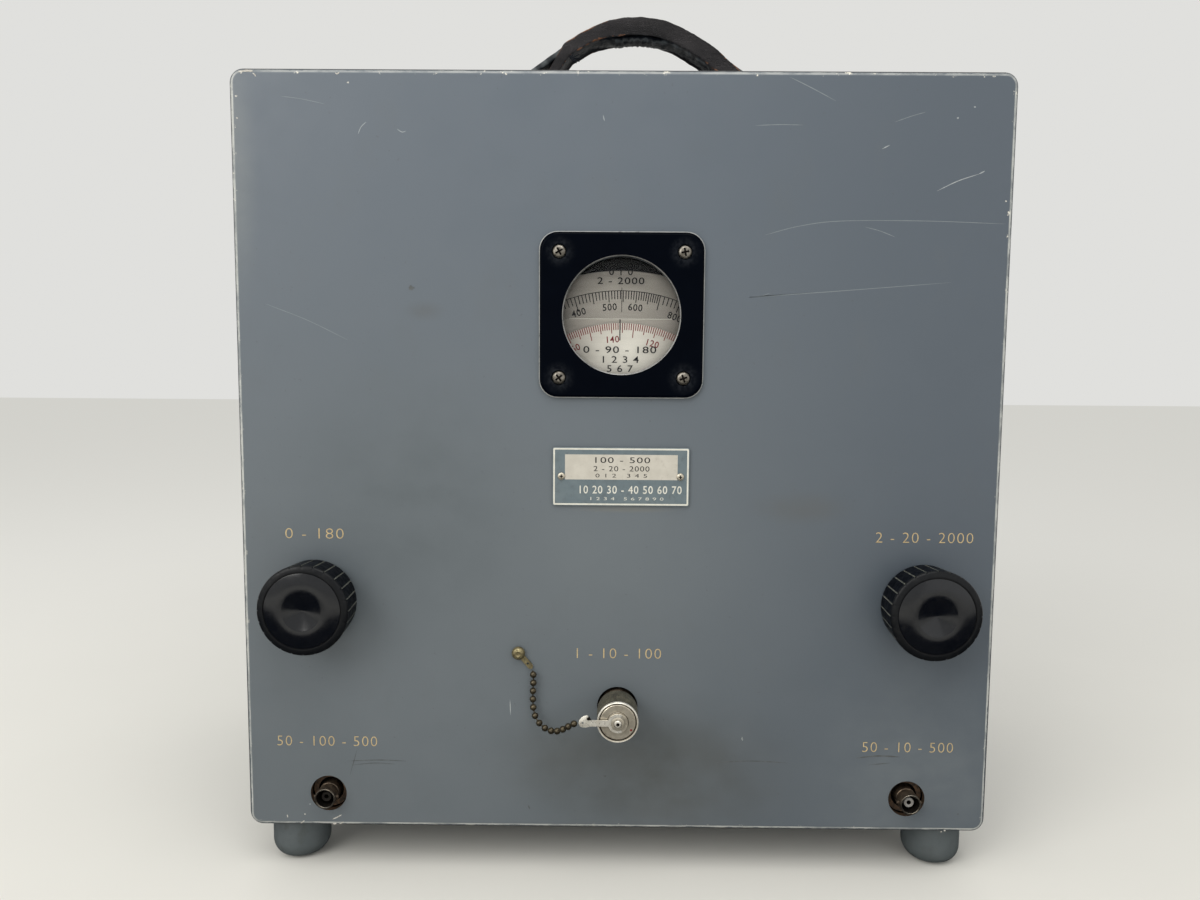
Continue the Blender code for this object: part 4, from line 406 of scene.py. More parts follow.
SHOULDER = worn(
    "knob_shoulder", (0.0030, 0.0037, 0.0052), (0.0050, 0.0056, 0.0068), 120.0, 0.34, 0.0,
    (0.012, 0.0125, 0.013), 0.3, (900.0, 0.000004), Specular_IOR_Level=0.2
)
DUST = worn("knob_groove_dust", (0.24, 0.245, 0.21), (0.10, 0.105, 0.095), 420.0, 0.8)
GOLD = worn("gold_filling", (0.62, 0.47, 0.24), (0.50, 0.37, 0.19), 500.0, 0.5, 0.15, (0.30, 0.26, 0.19), 0.3)
FAINT = worn("faint_scratch", (0.185, 0.210, 0.225), (0.155, 0.180, 0.195), 300.0, 0.55)
SCRATCH = worn("scratch", (0.36, 0.38, 0.38), (0.26, 0.285, 0.30), 300.0, 0.6)
CHIP = worn("paint_chip", (0.62, 0.60, 0.55), (0.42, 0.40, 0.36), 500.0, 0.6, 0.2, (0.2, 0.17, 0.13), 0.3)
SCUFF = worn("dark_scuff", (0.066, 0.070, 0.070), (0.100, 0.110, 0.114), 300.0, 0.65)
BAND = worn("plate_band", (0.105, 0.140, 0.158), (0.125, 0.160, 0.176), 160.0, 0.42, 0.0, (0.09, 0.11, 0.12))
BEVEL = worn(
    "bezel_bare_edge", (0.30, 0.31, 0.31), (0.40, 0.40, 0.385), 220.0, 0.36, 0.2, (0.06, 0.064, 0.07), 0.3
)
BRIGHT_PLATE = worn(
    "plate_inset", (0.56, 0.53, 0.465), (0.50, 0.47, 0.41), 160.0, 0.4, 0.2, (0.42, 0.39, 0.33), 0.2
)
BORDER = worn("plate_border", (0.68, 0.67, 0.60), (0.58, 0.57, 0.50), 260.0, 0.45, 0.1)
LEATHER = leather()
LINING = lining()
# Each dial's last tuple places its painted light: centre, then half sizes.
DIAL = spun_metal(
    "dial_face", (0.63, 0.59, 0.525), (0.20, 0.185, 0.165), 0.38, (0.0, -0.0897, 0.276, 0.048, 0.2, 0.034)
)
ANGLE_DIAL = spun_metal(
    "angle_dial_face", (0.92, 0.89, 0.80), (0.42, 0.395, 0.35), 0.36,
    (0.003, -0.0932, 0.252, 0.030, 0.2, 0.030)
)
INK = worn("dial_ink", (0.008, 0.008, 0.010), (0.014, 0.014, 0.016), 400.0, 0.6, Specular_IOR_Level=0.15)
RED_INK = worn(
    "dial_red_ink", (0.15, 0.009, 0.012), (0.20, 0.016, 0.019), 400.0, 0.6, Specular_IOR_Level=0.15
)
GLASS = clear("window_clear", (0.05, 0.055, 0.06), 0.05, 0.03)
SHEET = clear("cursor_clear", (0.03, 0.03, 0.03), 0.05, 0.06)
CHASSIS = worn(
    "chassis_enamel", (0.0030, 0.0035, 0.0045), (0.005, 0.0052, 0.006), 60.0, 0.5, 0.0, (0.009, 0.008, 0.007),
    0.3, Specular_IOR_Level=0.1
)
ALLOY = worn(
    "inner_aluminium", (0.50, 0.50, 0.50), (0.40, 0.40, 0.39), 90.0, 0.38, 0.9, (0.22, 0.21, 0.19), 0.3
)
YELLOW = worn(
    "inner_brass", (0.48, 0.37, 0.16), (0.36, 0.27, 0.11), 110.0, 0.34, 1.0, (0.16, 0.11, 0.05), 0.3
)
SHAFT = worn("inner_steel", (0.50, 0.49, 0.47), (0.40, 0.38, 0.35), 160.0, 0.3, 1.0, (0.18, 0.14, 0.10), 0.2)
CABLE = worn("lead_jacket", (0.014, 0.014, 0.015), (0.026, 0.026, 0.027), 150.0, 0.5)

# Mesh helpers


def skin(bm, loops, ring=False, capped=True, slot=0):
    """Join point loops into a surface; a ring joins the last loop to the first, else the ends are capped."""
    rows = [[bm.verts.new(point) for point in loop] for loop in loops]
    pairs = list(zip(rows, rows[1:]))
    if ring:
        pairs.append((rows[-1], rows[0]))
    made = []
    for first, second in pairs:
        count = max(len(first), len(second))
        for step in range(count):
            after = (step + 1) % count
            corners = []
            for row, place in ((first, step), (second, step), (second, after), (first, after)):
                vertex = row[place % len(row)]
                if vertex not in corners:
                    corners.append(vertex)
            made.append(bm.faces.new(corners))
    if capped and not ring:
        made += [bm.faces.new(row) for row in (rows[0], rows[-1]) if len(row) > 2]
    for face in made:
        face.material_index = slot
    return made


def circle(radius, level, steps=64):
    if radius == 0:
        return [Vector((0, 0, level))]
    turns = [2 * pi * step / steps for step in range(steps)]
    return [Vector((radius * cos(turn), radius * sin(turn), level)) for turn in turns]


def rounded_square(width, height, corner, level, steps=8):
    points = []
    for quarter in range(4):
        side_x = 1 if quarter in (0, 3) else -1
        side_y = 1 if quarter in (0, 1) else -1
        centre = Vector((side_x * (width / 2 - corner), side_y * (height / 2 - corner), level))
        for step in range(steps + 1):
            turn = (quarter + step / steps) * pi / 2
            points.append(centre + Vector((corner * cos(turn), corner * sin(turn), 0)))
    return points


def lathe(bm, profile, steps=64, place=Matrix.Identity(4), ring=False, slot=0):
    """Turn (radius, out) points about the out axis."""
    loops = [[place @ point for point in circle(max(radius, 0), level, steps)] for radius, level in profile]
    return skin(bm, loops, ring, slot=slot)


def rod(bm, radius, high, low, steps, place=Matrix.Identity(4)):
    """A plain cylinder between two levels."""
    return lathe(bm, [(0, high), (radius, high), (radius, low), (0, low)], steps, place)


def block(bm, outline, low, high, place=Matrix.Identity(4), slot=0):
    """Extrude a closed outline of (x, y) points between two levels."""
    return skin(bm, [[place @ Vector((x, y, level)) for x, y in outline] for level in (low, high)], slot=slot)


def carved(bm, cutter):
    """The first mesh with the second taken away."""
    pair = []
    for name, mesh in (("carved", bm), ("cutter", cutter)):
        bmesh.ops.recalc_face_normals(mesh, faces=mesh.faces)
        data = bpy.data.meshes.new(name)
        mesh.to_mesh(data)
        mesh.free()
        pair.append(bpy.data.objects.new(name, data))
        bpy.context.scene.collection.objects.link(pair[-1])
    change = pair[0].modifiers.new("cut", "BOOLEAN")
    change.object = pair[1]
    bpy.context.view_layer.update()
    data = bpy.data.meshes.new_from_object(pair[0].evaluated_get(bpy.context.evaluated_depsgraph_get()))
    result = bmesh.new()
    result.from_mesh(data)
    for obj in pair:
        bpy.data.objects.remove(obj)
    return result


def add_piece(name, bm, materials, body, place=PANEL, angle=35, stands_for=(), weighted=False):
    """Put a mesh in the scene as a piece that rides on a body."""
    bmesh.ops.recalc_face_normals(bm, faces=bm.faces)
    bm.transform(place)
    mesh = bpy.data.meshes.new(name)
    bm.to_mesh(mesh)
    bm.free()
    for material in materials:
        mesh.materials.append(material)
    mesh.shade_smooth()
    mesh.set_sharp_from_angle(angle=radians(angle))
    obj = bpy.data.objects.new(name, mesh)
    bpy.context.scene.collection.objects.link(obj)
    if weighted:
        obj.modifiers.new("normals", "WEIGHTED_NORMAL").keep_sharp = True
    if body:
        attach(obj, body)
    if stands_for:
        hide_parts(*stands_for)
    return obj


def smooth_route(points, steps):
    """Points on a smooth curve through the given route."""
    route = [Vector(point) for point in points]
    route = [2 * route[0] - route[1], *route, 2 * route[-1] - route[-2]]
    result = [route[1]]
    for before, start, end, after in zip(route, route[1:], route[2:], route[3:]):
        for step in range(1, steps + 1):
            t = step / steps
            drift = (end - before) * t
            bend = (2 * before - 5 * start + 4 * end - after) * t * t
            twist = (3 * start - before - 3 * end + after) * t * t * t
            result.append((2 * start + drift + bend + twist) / 2)
    return result


def text_shape(bm, body, size, place, slot=0, squeeze=1.0, weight=0.0, width=None):
    """Add flat raised characters, centred on the place; a width stretches them to fit it."""
    curve = bpy.data.curves.new("text", "FONT")
    curve.body = body
    curve.size = size
    curve.extrude = RAISED / 2
    curve.offset = weight
    curve.resolution_u = 3
    curve.align_x = "CENTER"
    curve.align_y = "CENTER"
    curve.space_character = 1.12
    obj = bpy.data.objects.new("text", curve)
    bpy.context.scene.collection.objects.link(obj)
    bpy.context.view_layer.update()
    mesh = bpy.data.meshes.new_from_object(obj.evaluated_get(bpy.context.evaluated_depsgraph_get()))
    if width:
        across = [vertex.co.x for vertex in mesh.vertices]
        squeeze = width / (max(across) - min(across))
    mesh.transform(place @ Matrix.Diagonal((squeeze, 1, 1, 1)))
    first = len(bm.faces)
    bm.from_mesh(mesh)
    bm.faces.ensure_lookup_table()
    for face in bm.faces[first:]:
        face.material_index = slot
    bpy.data.objects.remove(obj)


def cross_head_screw(bm, radius, height, place, recess=0.62, slots=(0, 1)):
    """A domed screw head with a cross-shaped recess, sitting on its place."""
    reach = radius * recess
    arm = radius * 0.145
    dome = []
    for step in range(6):
        turn = pi / 2 * step / 5
        dome.append((radius * sin(turn), height * (0.35 + 0.65 * cos(turn))))
    outer = bmesh.new()
    lathe(outer, [(0, height), *dome[1:], (radius, 0), (0, 0)], 32)
    cross = [(arm, reach), (-arm, reach), (-arm, arm), (-reach, arm), (-reach, -arm), (-arm, -arm)]
    cross += [(-arm, -reach), (arm, -reach), (arm, -arm), (reach, -arm), (reach, arm), (arm, arm)]
    tool = bmesh.new()
    block(tool, cross, height * 0.35, height * 2)
    head = carved(outer, tool)
    for face in head.faces:
        middle = face.calc_center_median()
        # Faces inside the cross take the second slot, the near-black painted shade of a recess.
        deep = middle.z < height * 0.8 and hypot(middle.x, middle.y) < reach * 1.02 and middle.z > 0.01
        face.material_index = slots[1] if deep else slots[0]
    head.transform(place)
    mesh = bpy.data.meshes.new("head")
    head.to_mesh(mesh)
    head.free()
    bm.from_mesh(mesh)


# Sizes that several pieces share, in millimetres

SEAT = 0.3
BEZEL_TOP = 2.9
DIAL_X, DIAL_UP = 0.3, 180.0
PLATE_X, PLATE_UP = 0.95, 171.4
PORT_UP = 61.1
CHAIN_SCREW_X, CHAIN_SCREW_UP = -47.1, 87.2
JACKS = (("generator", -138.9), ("detector", 139.4))
JACK_UP = 16.7
KNOBS = (("phase", -142.7, "phase_control"), ("magnitude", 142.7, "magnitude_control"))
KNOB_UP = 112.0
RAISED = 0.03
CURSOR_FRONT = -7.0
PLATE_SCREW_HALF = 26.85


def on_panel(x, up, out=0.0):
    return Matrix.Translation((x, up, out))


# Retaining chain

CHAIN_ROUTE = (
    (-0.04016, -0.10180, 0.10152),
    (-0.03978, -0.10190, 0.09781),
    (-0.03997, -0.10190, 0.09319),
    (-0.04008, -0.10190, 0.08847),
    (-0.03988, -0.10211, 0.08387),
    (-0.03883, -0.10309, 0.07978),
    (-0.03664, -0.10479, 0.07699),
    (-0.03361, -0.10725, 0.07550),
    (-0.03028, -0.11001, 0.07543),
    (-0.02723, -0.11247, 0.07662),
    (-0.02437, -0.11482, 0.07876),
    (-0.02162, -0.11706, 0.08117),
    (-0.01867, -0.11920, 0.08340),
)
BEAD_RADIUS = 0.0016
BEADS = 13


def along(route, distance):
    """The point at a distance along a route."""
    for before, after in zip(route, route[1:]):
        span = (after - before).length
        if distance <= span:
            return before.lerp(after, distance / span)
        distance -= span
    return route[-1]


def sweep(bm, points, radii, sides, slot=0):
    """A round tube of changing radius along the points."""
    side = Vector((0, 0, 1))
    loops = []
    for index, (point, radius) in enumerate(zip(points, radii)):
        before = points[max(index - 1, 0)]
        ahead = points[min(index + 1, len(points) - 1)] - before
        ahead.normalize()
        side = (side - ahead * side.dot(ahead)).normalized()
        other = ahead.cross(side)
        turns = [2 * pi * step / sides for step in range(sides)]
        loops.append([point + (side * cos(turn) + other * sin(turn)) * radius for turn in turns])
    return skin(bm, loops, slot=slot)


def make_chain():
    """A chain of beads on short links, from the lug under its screw to the cap's lug."""
    route = [Vector(point) for point in CHAIN_ROUTE]
    fine = smooth_route(route, 8)
    pitch = sum((after - before).length for before, after in zip(fine, fine[1:])) / BEADS
    points = []
    radii = []
    half_turns = 10
    for bead in range(BEADS):
        middle = (bead + 0.5) * pitch
        for step in range(half_turns + 1):
            turn = pi * (0.06 + 0.88 * step / half_turns)
            points.append(along(fine, middle - BEAD_RADIUS * cos(turn)))
            radii.append(BEAD_RADIUS * sin(turn))
    points = [fine[0], *points, fine[-1]]
    radii = [radii[0], *radii, radii[-1]]
    bm = bmesh.new()
    sweep(bm, points, radii, 16)
    obj = add_piece("bead_chain", bm, [BEAD], None, Matrix.Identity(4), 60)
    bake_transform(obj)
    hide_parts("retaining_chain")


# Case, cover and feet


def case_loop(inset, out, rounding=4.0):
    corner = max(rounding - inset, 0.4)
    loop = rounded_square(CASE_SIDE - 2 * inset, CASE_SIDE - 2 * inset, corner, out)
    return [point + Vector((0, CASE_SIDE / 2, 0)) for point in loop]


HOLES = (
    (9.65, 0.0, PORT_UP),
    *((8.7, x, JACK_UP) for _, x in JACKS),
    *((5.2, x, KNOB_UP) for _, x, _ in KNOBS),
)


def make_case():
    """The sheet-metal shell: panel and sides in one, with a rolled front edge and round holes."""
    edge, wall, lip = 2.8, 3.2, 13.0
    loops = []
    for step in range(9):
        turn = pi / 2 * step / 8
        loops.append(case_loop(edge * (1 - sin(turn)), -edge * (1 - cos(turn)), 6.4))
    loops += [case_loop(0, -40, 5.4), case_loop(0, -CASE_DEPTH), case_loop(lip, -CASE_DEPTH)]
    loops += [case_loop(lip, wall - CASE_DEPTH), case_loop(wall, wall - CASE_DEPTH), case_loop(wall, -wall)]
    shell = bmesh.new()
    skin(shell, loops)
    tools = bmesh.new()
    window = [(0, 5), (29.0, 5), (29.0, -2.3), (26.9, -2.3), (26.9, -8), (0, -8)]
    lathe(tools, window, 96, on_panel(WINDOW_X, WINDOW_UP))
    for radius, x, up in HOLES:
        rod(tools, radius, 5, -8, 96, on_panel(x, up))
    body = carved(shell, tools)
    for face in body.faces:
        middle = face.calc_center_median()
        # Hole walls: the port's takes painted shade, the others bare rusted metal.
        if abs(face.normal.z) < 0.2 and -wall < middle.z < 0:
            if any(hypot(middle.x - x, middle.y - up) < radius + 0.2 for radius, x, up in HOLES):
                face.material_index = 2 if abs(middle.x) < 20 else 1
        across = max(abs(middle.x), abs(middle.y - CASE_SIDE / 2))
        if across < CASE_SIDE / 2 - wall + 0.1 and -CASE_DEPTH < middle.z < 0.1 - wall:
            face.material_index = 3
    add_piece(
        "case_shell", body, [PAINT, RAW_HOLE, RECESS_SHADE, CHASSIS], "case_body", angle=50, stands_for=["case"],
        weighted=True
    )


def make_feet():
    """Four turned feet, rounded underneath."""
    radius, height, rounding = 13.9, 22.0, 8.3
    profile = [(3, 7), (3, 0), (radius - 0.5, 0), (radius - 0.15, -0.15), (radius, -0.5)]
    for step in range(13):
        turn = pi / 2 * step / 12
        profile.append((radius - rounding * (1 - cos(turn)), -height + rounding * (1 - sin(turn))))
    profile = [(0, 7), *profile, (0, -height)]
    for side, x in (("left", -158.75), ("right", 158.75)):
        for end, depth in (("front", 20.0), ("rear", 195.9)):
            bm = bmesh.new()
            place = Matrix.Translation((x, -SEAT, -depth)) @ Matrix.Rotation(-pi / 2, 4, "X")
            lathe(bm, profile, 64, place)
            name = f"{end}_{side}"
            add_piece(
                f"rubber_foot_{name}", bm, [FOOT], "case_body", angle=60, stands_for=[f"foot_{name}"],
            )


def make_rear_screws():
    """The screws that hold the rear cover."""
    names = {(-1, 0): "bottom_left", (1, 0): "bottom_right", (-1, 1): "top_left", (1, 1): "top_right"}
    back = -CASE_DEPTH - SEAT - 2.0
    for (side, row), name in names.items():
        bm = bmesh.new()
        place = on_panel(side * 170.3, 7.5 + row * 340.6, back) @ Matrix.Rotation(pi, 4, "X")
        cross_head_screw(bm, 4.0, 2.4, place @ Matrix.Translation((0, 0, 0.02)))
        rod(bm, 1.9, 0, -9, 20, place)
        add_piece(
            f"cover_screw_{name}", bm, [STEEL, RECESS_SHADE], "case_body", stands_for=[f"rear_screw_{name}"],
        )


# Handle

RING_SWAY = radians(40)
RING_LENGTH = 14.0
RING_WIRE = 1.6
PIVOT_UP = 3.2
SPAN = 184.0
STRAP = 4.0
GRIP_SHIFT = RING_LENGTH * sin(RING_SWAY)
GRIP_CREST = 59.6
GRIP_FULLNESS = 1.08
BAR_UP = PIVOT_UP + RING_LENGTH * cos(RING_SWAY)
GRIP_WRAP = RING_WIRE + 0.3 + STRAP / 2


def make_handle_rings():
    """The two wire rings and the bent clips that they swing in."""
    half, corner = 12.6, 3.0
    for side, name in ((-1, "left"), (1, "right")):
        route = rounded_square(2 * half, RING_LENGTH, corner, 0)
        turn = Matrix.Translation((side * SPAN / 2, 0, PIVOT_UP)) @ Matrix.Rotation(RING_SWAY, 4, "Y")
        points = [turn @ Vector((0, point.x, point.y + RING_LENGTH / 2)) for point in route]
        loops = []
        for index, point in enumerate(points):
            ahead = (points[(index + 1) % len(points)] - points[index - 1]).normalized()
            across = (turn.to_3x3() @ Vector((1, 0, 0))).normalized()
            other = ahead.cross(across)
            angles = [2 * pi * k / 16 for k in range(16)]
            loops.append([point + (across * cos(angle) + other * sin(angle)) * RING_WIRE for angle in angles])
        bm = bmesh.new()
        skin(bm, loops, ring=True)
        add_piece(
            f"ring_{name}", bm, [WIRE], f"{name}_ring", HANDLE, 60, [f"handle_ring_{name}"]
        )

        inner, sheet, reach = RING_WIRE + 0.4, 1.2, 12.0
        outer = inner + sheet
        outline = [(-reach, 0), (-reach, sheet)]
        outline += [(-outer - 0.8, sheet), (-outer, sheet + 0.5)]
        outline += [
            (outer * cos(t), PIVOT_UP - SEAT + outer * sin(t)) for t in (pi * (1 - k / 16) for k in range(17))
        ]
        outline += [(outer, sheet + 0.5), (outer + 0.8, sheet), (reach, sheet), (reach, 0), (inner, 0)]
        outline += [
            (inner * cos(t), PIVOT_UP - SEAT + inner * sin(t)) for t in (pi * k / 16 for k in range(17))
        ]
        outline += [(-inner, 0)]
        bm = bmesh.new()
        place = Matrix.Translation((side * SPAN / 2, 0, SEAT)) @ Matrix.Rotation(pi / 2, 4, "X")
        block(bm, outline, -7, 7, place)
        add_piece(
            f"clip_{name}", bm, [WIRE], "case_body", HANDLE, 40, [f"handle_clip_{name}"]
        )


def grip_height(x):
    """The handle's outer height at a place across it, measured from its middle, and its slope there."""
    share = (abs(x) / (SPAN / 2)) ** GRIP_FULLNESS
    base = BAR_UP + GRIP_WRAP + STRAP / 2
    rise = GRIP_CREST - base
    slope = -rise / 2 * sin(pi * share) * pi * GRIP_FULLNESS * share / x if x else 0
    return base + rise * (1 + cos(pi * share)) / 2, slope


def on_grip(x, inward, across):
    """A point that lies the given depth inside the handle's outer surface."""
    height, slope = grip_height(x)
    normal = Vector((-slope, 0, 1)).normalized()
    return Vector((x, across, height)) - normal * inward


def wrinkle(point, reach):
    return noise.noise(Vector(point)) * reach


def held(value):
    """A value held between 0 and 1."""
    return min(max(value, 0), 1)


def add_soft_piece(name, rows, material, wear_and_sheen):
    """A closed piece from rows of points, with each point's share of wear and of painted sheen kept for its
    material.
    """
    bm = bmesh.new()
    skin(bm, rows)
    piece = add_piece(name, bm, [material], "grip", HANDLE, 70, ["handle_grip"])
    shares = piece.data.attributes.new("edge", "FLOAT", "POINT")
    shares.data.foreach_set("value", wear_and_sheen)
    return piece


def make_grip_strap():
    """The strap: over the arch inside the sleeve, with each end folded round its ring's bar."""
    half = SPAN / 2
    tab_x = half - 14.0
    tab_z = grip_height(tab_x)[0] - 1.5 * STRAP - 0.9
    lean = (tab_x - half, tab_z - BAR_UP)
    turn_end = -pi + acos(GRIP_WRAP / hypot(*lean)) - acos(-lean[0] / hypot(*lean))
    path = []
    for step in range(61):
        x = half * step / 60
        sunk = 0.9 * (1 - held((x - 62) / 3))
        point = on_grip(x, STRAP / 2 + sunk, 0)
        path.append((point.x, point.z, 1 - 0.2 * min(sunk, 1)))
    for step in range(1, 17):
        turn = pi / 2 + (turn_end - pi / 2) * step / 16
        path.append((half + GRIP_WRAP * cos(turn), BAR_UP + GRIP_WRAP * sin(turn), 1))
    start_x, start_z, _ = path[-1]
    for share, full in ((0.35, 1), (0.7, 1), (0.96, 1), (1.0, 0.7)):
        path.append((start_x + (tab_x - start_x) * share, start_z + (tab_z - start_z) * share, full))
    full_path = [(-x, z, full) for x, z, full in reversed(path[1:])] + path
    rows = []
    shares = []
    for index, (x, z, full) in enumerate(full_path):
        before = full_path[max(index - 1, 0)]
        after = full_path[min(index + 1, len(full_path) - 1)]
        along_path = Vector((after[0] - before[0], 0, after[1] - before[1])).normalized()
        normal = Vector((-along_path.z, 0, along_path.x))
        row = []
        for point in rounded_square(18.4, STRAP * full, STRAP * 0.3, 0, 3):
            crease = wrinkle((x * 0.16, point.x * 0.05, z * 0.16 + 7), 0.22)
            place = Vector((x + GRIP_SHIFT, point.x, z)) + normal * (point.y + crease)
            row.append(place)
            bare = (0.85 if x < -56 else 0.5) + wrinkle((x * 0.3, point.x * 0.5, z * 0.3), 0.35)
            shares.append(bare if abs(point.x) > 8.4 else bare * 0.7)
        rows.append(row)
    add_soft_piece("handle_strap", rows, LINING, shares)


def grip_section():
    """The sleeve's section, from its lower front corner round the top: across, inward and worn share."""
    half, deep = 9.5, 9.6
    outline = [
        (-half + 1.6, deep - 0.9, 0.2), (-half + 0.8, deep + 0.1, 0.7), (-half + 0.2, deep - 0.1, 0.95)
    ]
    outline += [
        (-half, deep - 0.7, 0.7), (-half - 0.05, deep - 1.7, 0.15), (-half - 0.05, 5.5, 0), (-half, 3.2, 0)
    ]
    for step in range(7):
        turn = pi / 2 * step / 6
        outline.append(
            (-half + 1.7 * (1 - cos(turn)), 1.7 * (1 - sin(turn)), 0.95 * sin(min(1.9 * turn + 0.2, pi)) ** 2)
        )
    outline += [(-half + 3.4, -0.25, 0.2), (-half + 6.4, -0.45, 0)]
    mirrored = [(-across, inward, share) for across, inward, share in reversed(outline)]
    floor_line = [(half - 2.6, deep - 1.2, 0), (0, deep - 1.2, 0), (-half + 2.6, deep - 1.2, 0)]
    return [*outline, (0, -0.5, 0), *mirrored, *floor_line]


def make_grip_sleeve():
    """The padded sleeve: crowned, creased across, and rubbed brown along its edges near both ends."""
    rows = []
    shares = []
    steps = 150
    left, right = -61.0, 60.0
    for step in range(steps + 1):
        x = left + (right - left) * step / steps
        ending = min(step, steps - step)
        pull = (0.55, 0.15, 0.03)[ending] if ending < 3 else 0
        rubbed = max(0, 1 - abs(x + 29) / 26) ** 0.35 + max(0, 1 - abs(x - 54) / 13) ** 0.4
        thin = 1 - 0.35 * max(0, (x - 40) / 21) ** 2
        row = []
        for across, inward, share in grip_section():
            deep = inward * thin + (4.5 - inward) * pull
            lean = (deep - 5) * -0.5 * max(0, x - 30) / 30
            deep *= 1 - 0.22 * held((-12 - x) / 16)
            fall = 1.0 * max(0, -40.5 - x) * (1 - 0.5 * deep / 9.6) + 0.16 * max(0, x - 42)
            crease = wrinkle((x * 0.22, across * 0.03, inward * 0.05), 0.35)
            fine = wrinkle((x * 0.9, across * 0.5, inward * 0.5 + 9), 0.14)
            point = on_grip(x + lean, deep - crease - fine, across * (1 - 0.05 * pull))
            point.x += GRIP_SHIFT
            point.z -= fall
            point.y += wrinkle((x * 0.5, inward * 0.35, across + 20), 0.14)
            point.y += wrinkle((x * 0.045, inward * 0.8, across + 40), 0.45)
            row.append(point)
            shares.append(min(1.0, share * (0.12 + 0.95 * min(rubbed, 1.0)) + (0.35 if ending < 2 else 0)))
        rows.append(row)
    sleeve = add_soft_piece("handle_sleeve", rows, LEATHER, shares)


def make_grip_lining():
    """The strip under the sleeve, with a ragged lower edge, a seam left of its middle and a painted sheen
    along its lower front.
    """
    rows = []
    shares = []
    steps = 150
    left, right = -50.0, 56.0
    sides = 20
    for step in range(steps + 1):
        x = left + (right - left) * step / steps
        ending = min(step, steps - step, 6) / 6
        seam = 0.75 if x < -14.5 else 1.0
        row = []
        for side in range(sides):
            turn = 2 * pi * side / sides
            across = 1.2 + 7.4 * cos(turn)
            bulge = 1.15 + 0.75 * max(0, cos(turn - 0.5)) * seam
            ragged = wrinkle((x * 0.55, across * 0.12, 4), 0.7) + wrinkle((x * 1.7, across * 0.3, 8), 0.4)
            roll = bulge * sin(turn) * (0.35 + 0.65 * ending)
            inward = 9.0 + 0.6 * ending + roll + (ragged if sin(turn) > 0 else 0) * seam
            inward -= 4.4 * held((-12 - x) / 16) + 2.0 * held((x - 12) / 14)
            point = on_grip(x, inward, across)
            point.x += GRIP_SHIFT
            row.append(point)
            # The share is a painted sheen: a grey band where the roll faces down and forwards.
            lit = max(0, cos(turn - 2.25)) ** 9 * (1 if -14.5 < x < 44 else 0.5)
            shares.append(lit * (0.75 + wrinkle((x * 0.25, 5, 1), 0.5)))
        rows.append(row)
    add_soft_piece("handle_lining_roll", rows, LINING, shares)


def make_grip():
    """The leather handle: a strap, a padded sleeve on its arch, and a lining under that."""
    make_grip_strap()
    make_grip_sleeve()
    make_grip_lining()
    make_frayed_threads()


def make_frayed_threads():
    """A few broken threads that stick out under the sleeve's left end."""
    bm = bmesh.new()
    root = on_grip(-41.5, 7.2, -8.6)
    for turn, reach, lift in (
        (0.35, 6.0, 0.0), (0.02, 6.6, 0.5), (-0.30, 6.2, 0.9), (-0.55, 5.0, 1.2), (0.75, 3.6, -0.4)
    ):
        tip = root + Vector((reach * cos(turn), -0.6, reach * sin(turn) - 1.4))
        middle = root.lerp(tip, 0.5) + Vector((0, 0, -0.9 + lift * 0.3))
        points = smooth_route([root + Vector((-1.6, 0.5, lift * 0.6)), root, middle, tip], 4)
        points = [point + Vector((GRIP_SHIFT, 0, 0)) for point in points]
        radii = [0.75 * (1 - 0.7 * step / (len(points) - 1)) for step in range(len(points))]
        sweep(bm, points, radii, 6)
    add_piece("handle_frayed_threads", bm, [LINING], "grip", HANDLE, 60)


# Window, plate and their screws


def square_ring(half, corner, level, steps):
    """A rounded square read by angle, so that it can be skinned to a circle."""
    points = []
    for step in range(steps):
        turn = 2 * pi * step / steps
        across = max(abs(cos(turn)), abs(sin(turn)))
        least = min(abs(cos(turn)), abs(sin(turn)))
        reach = half / across
        centre = half - corner
        if reach * least > centre:
            middle = centre * (across + least)
            reach = middle + sqrt(middle * middle - 2 * centre * centre + corner * corner)
        points.append(Vector((reach * cos(turn), reach * sin(turn), level)))
    return points


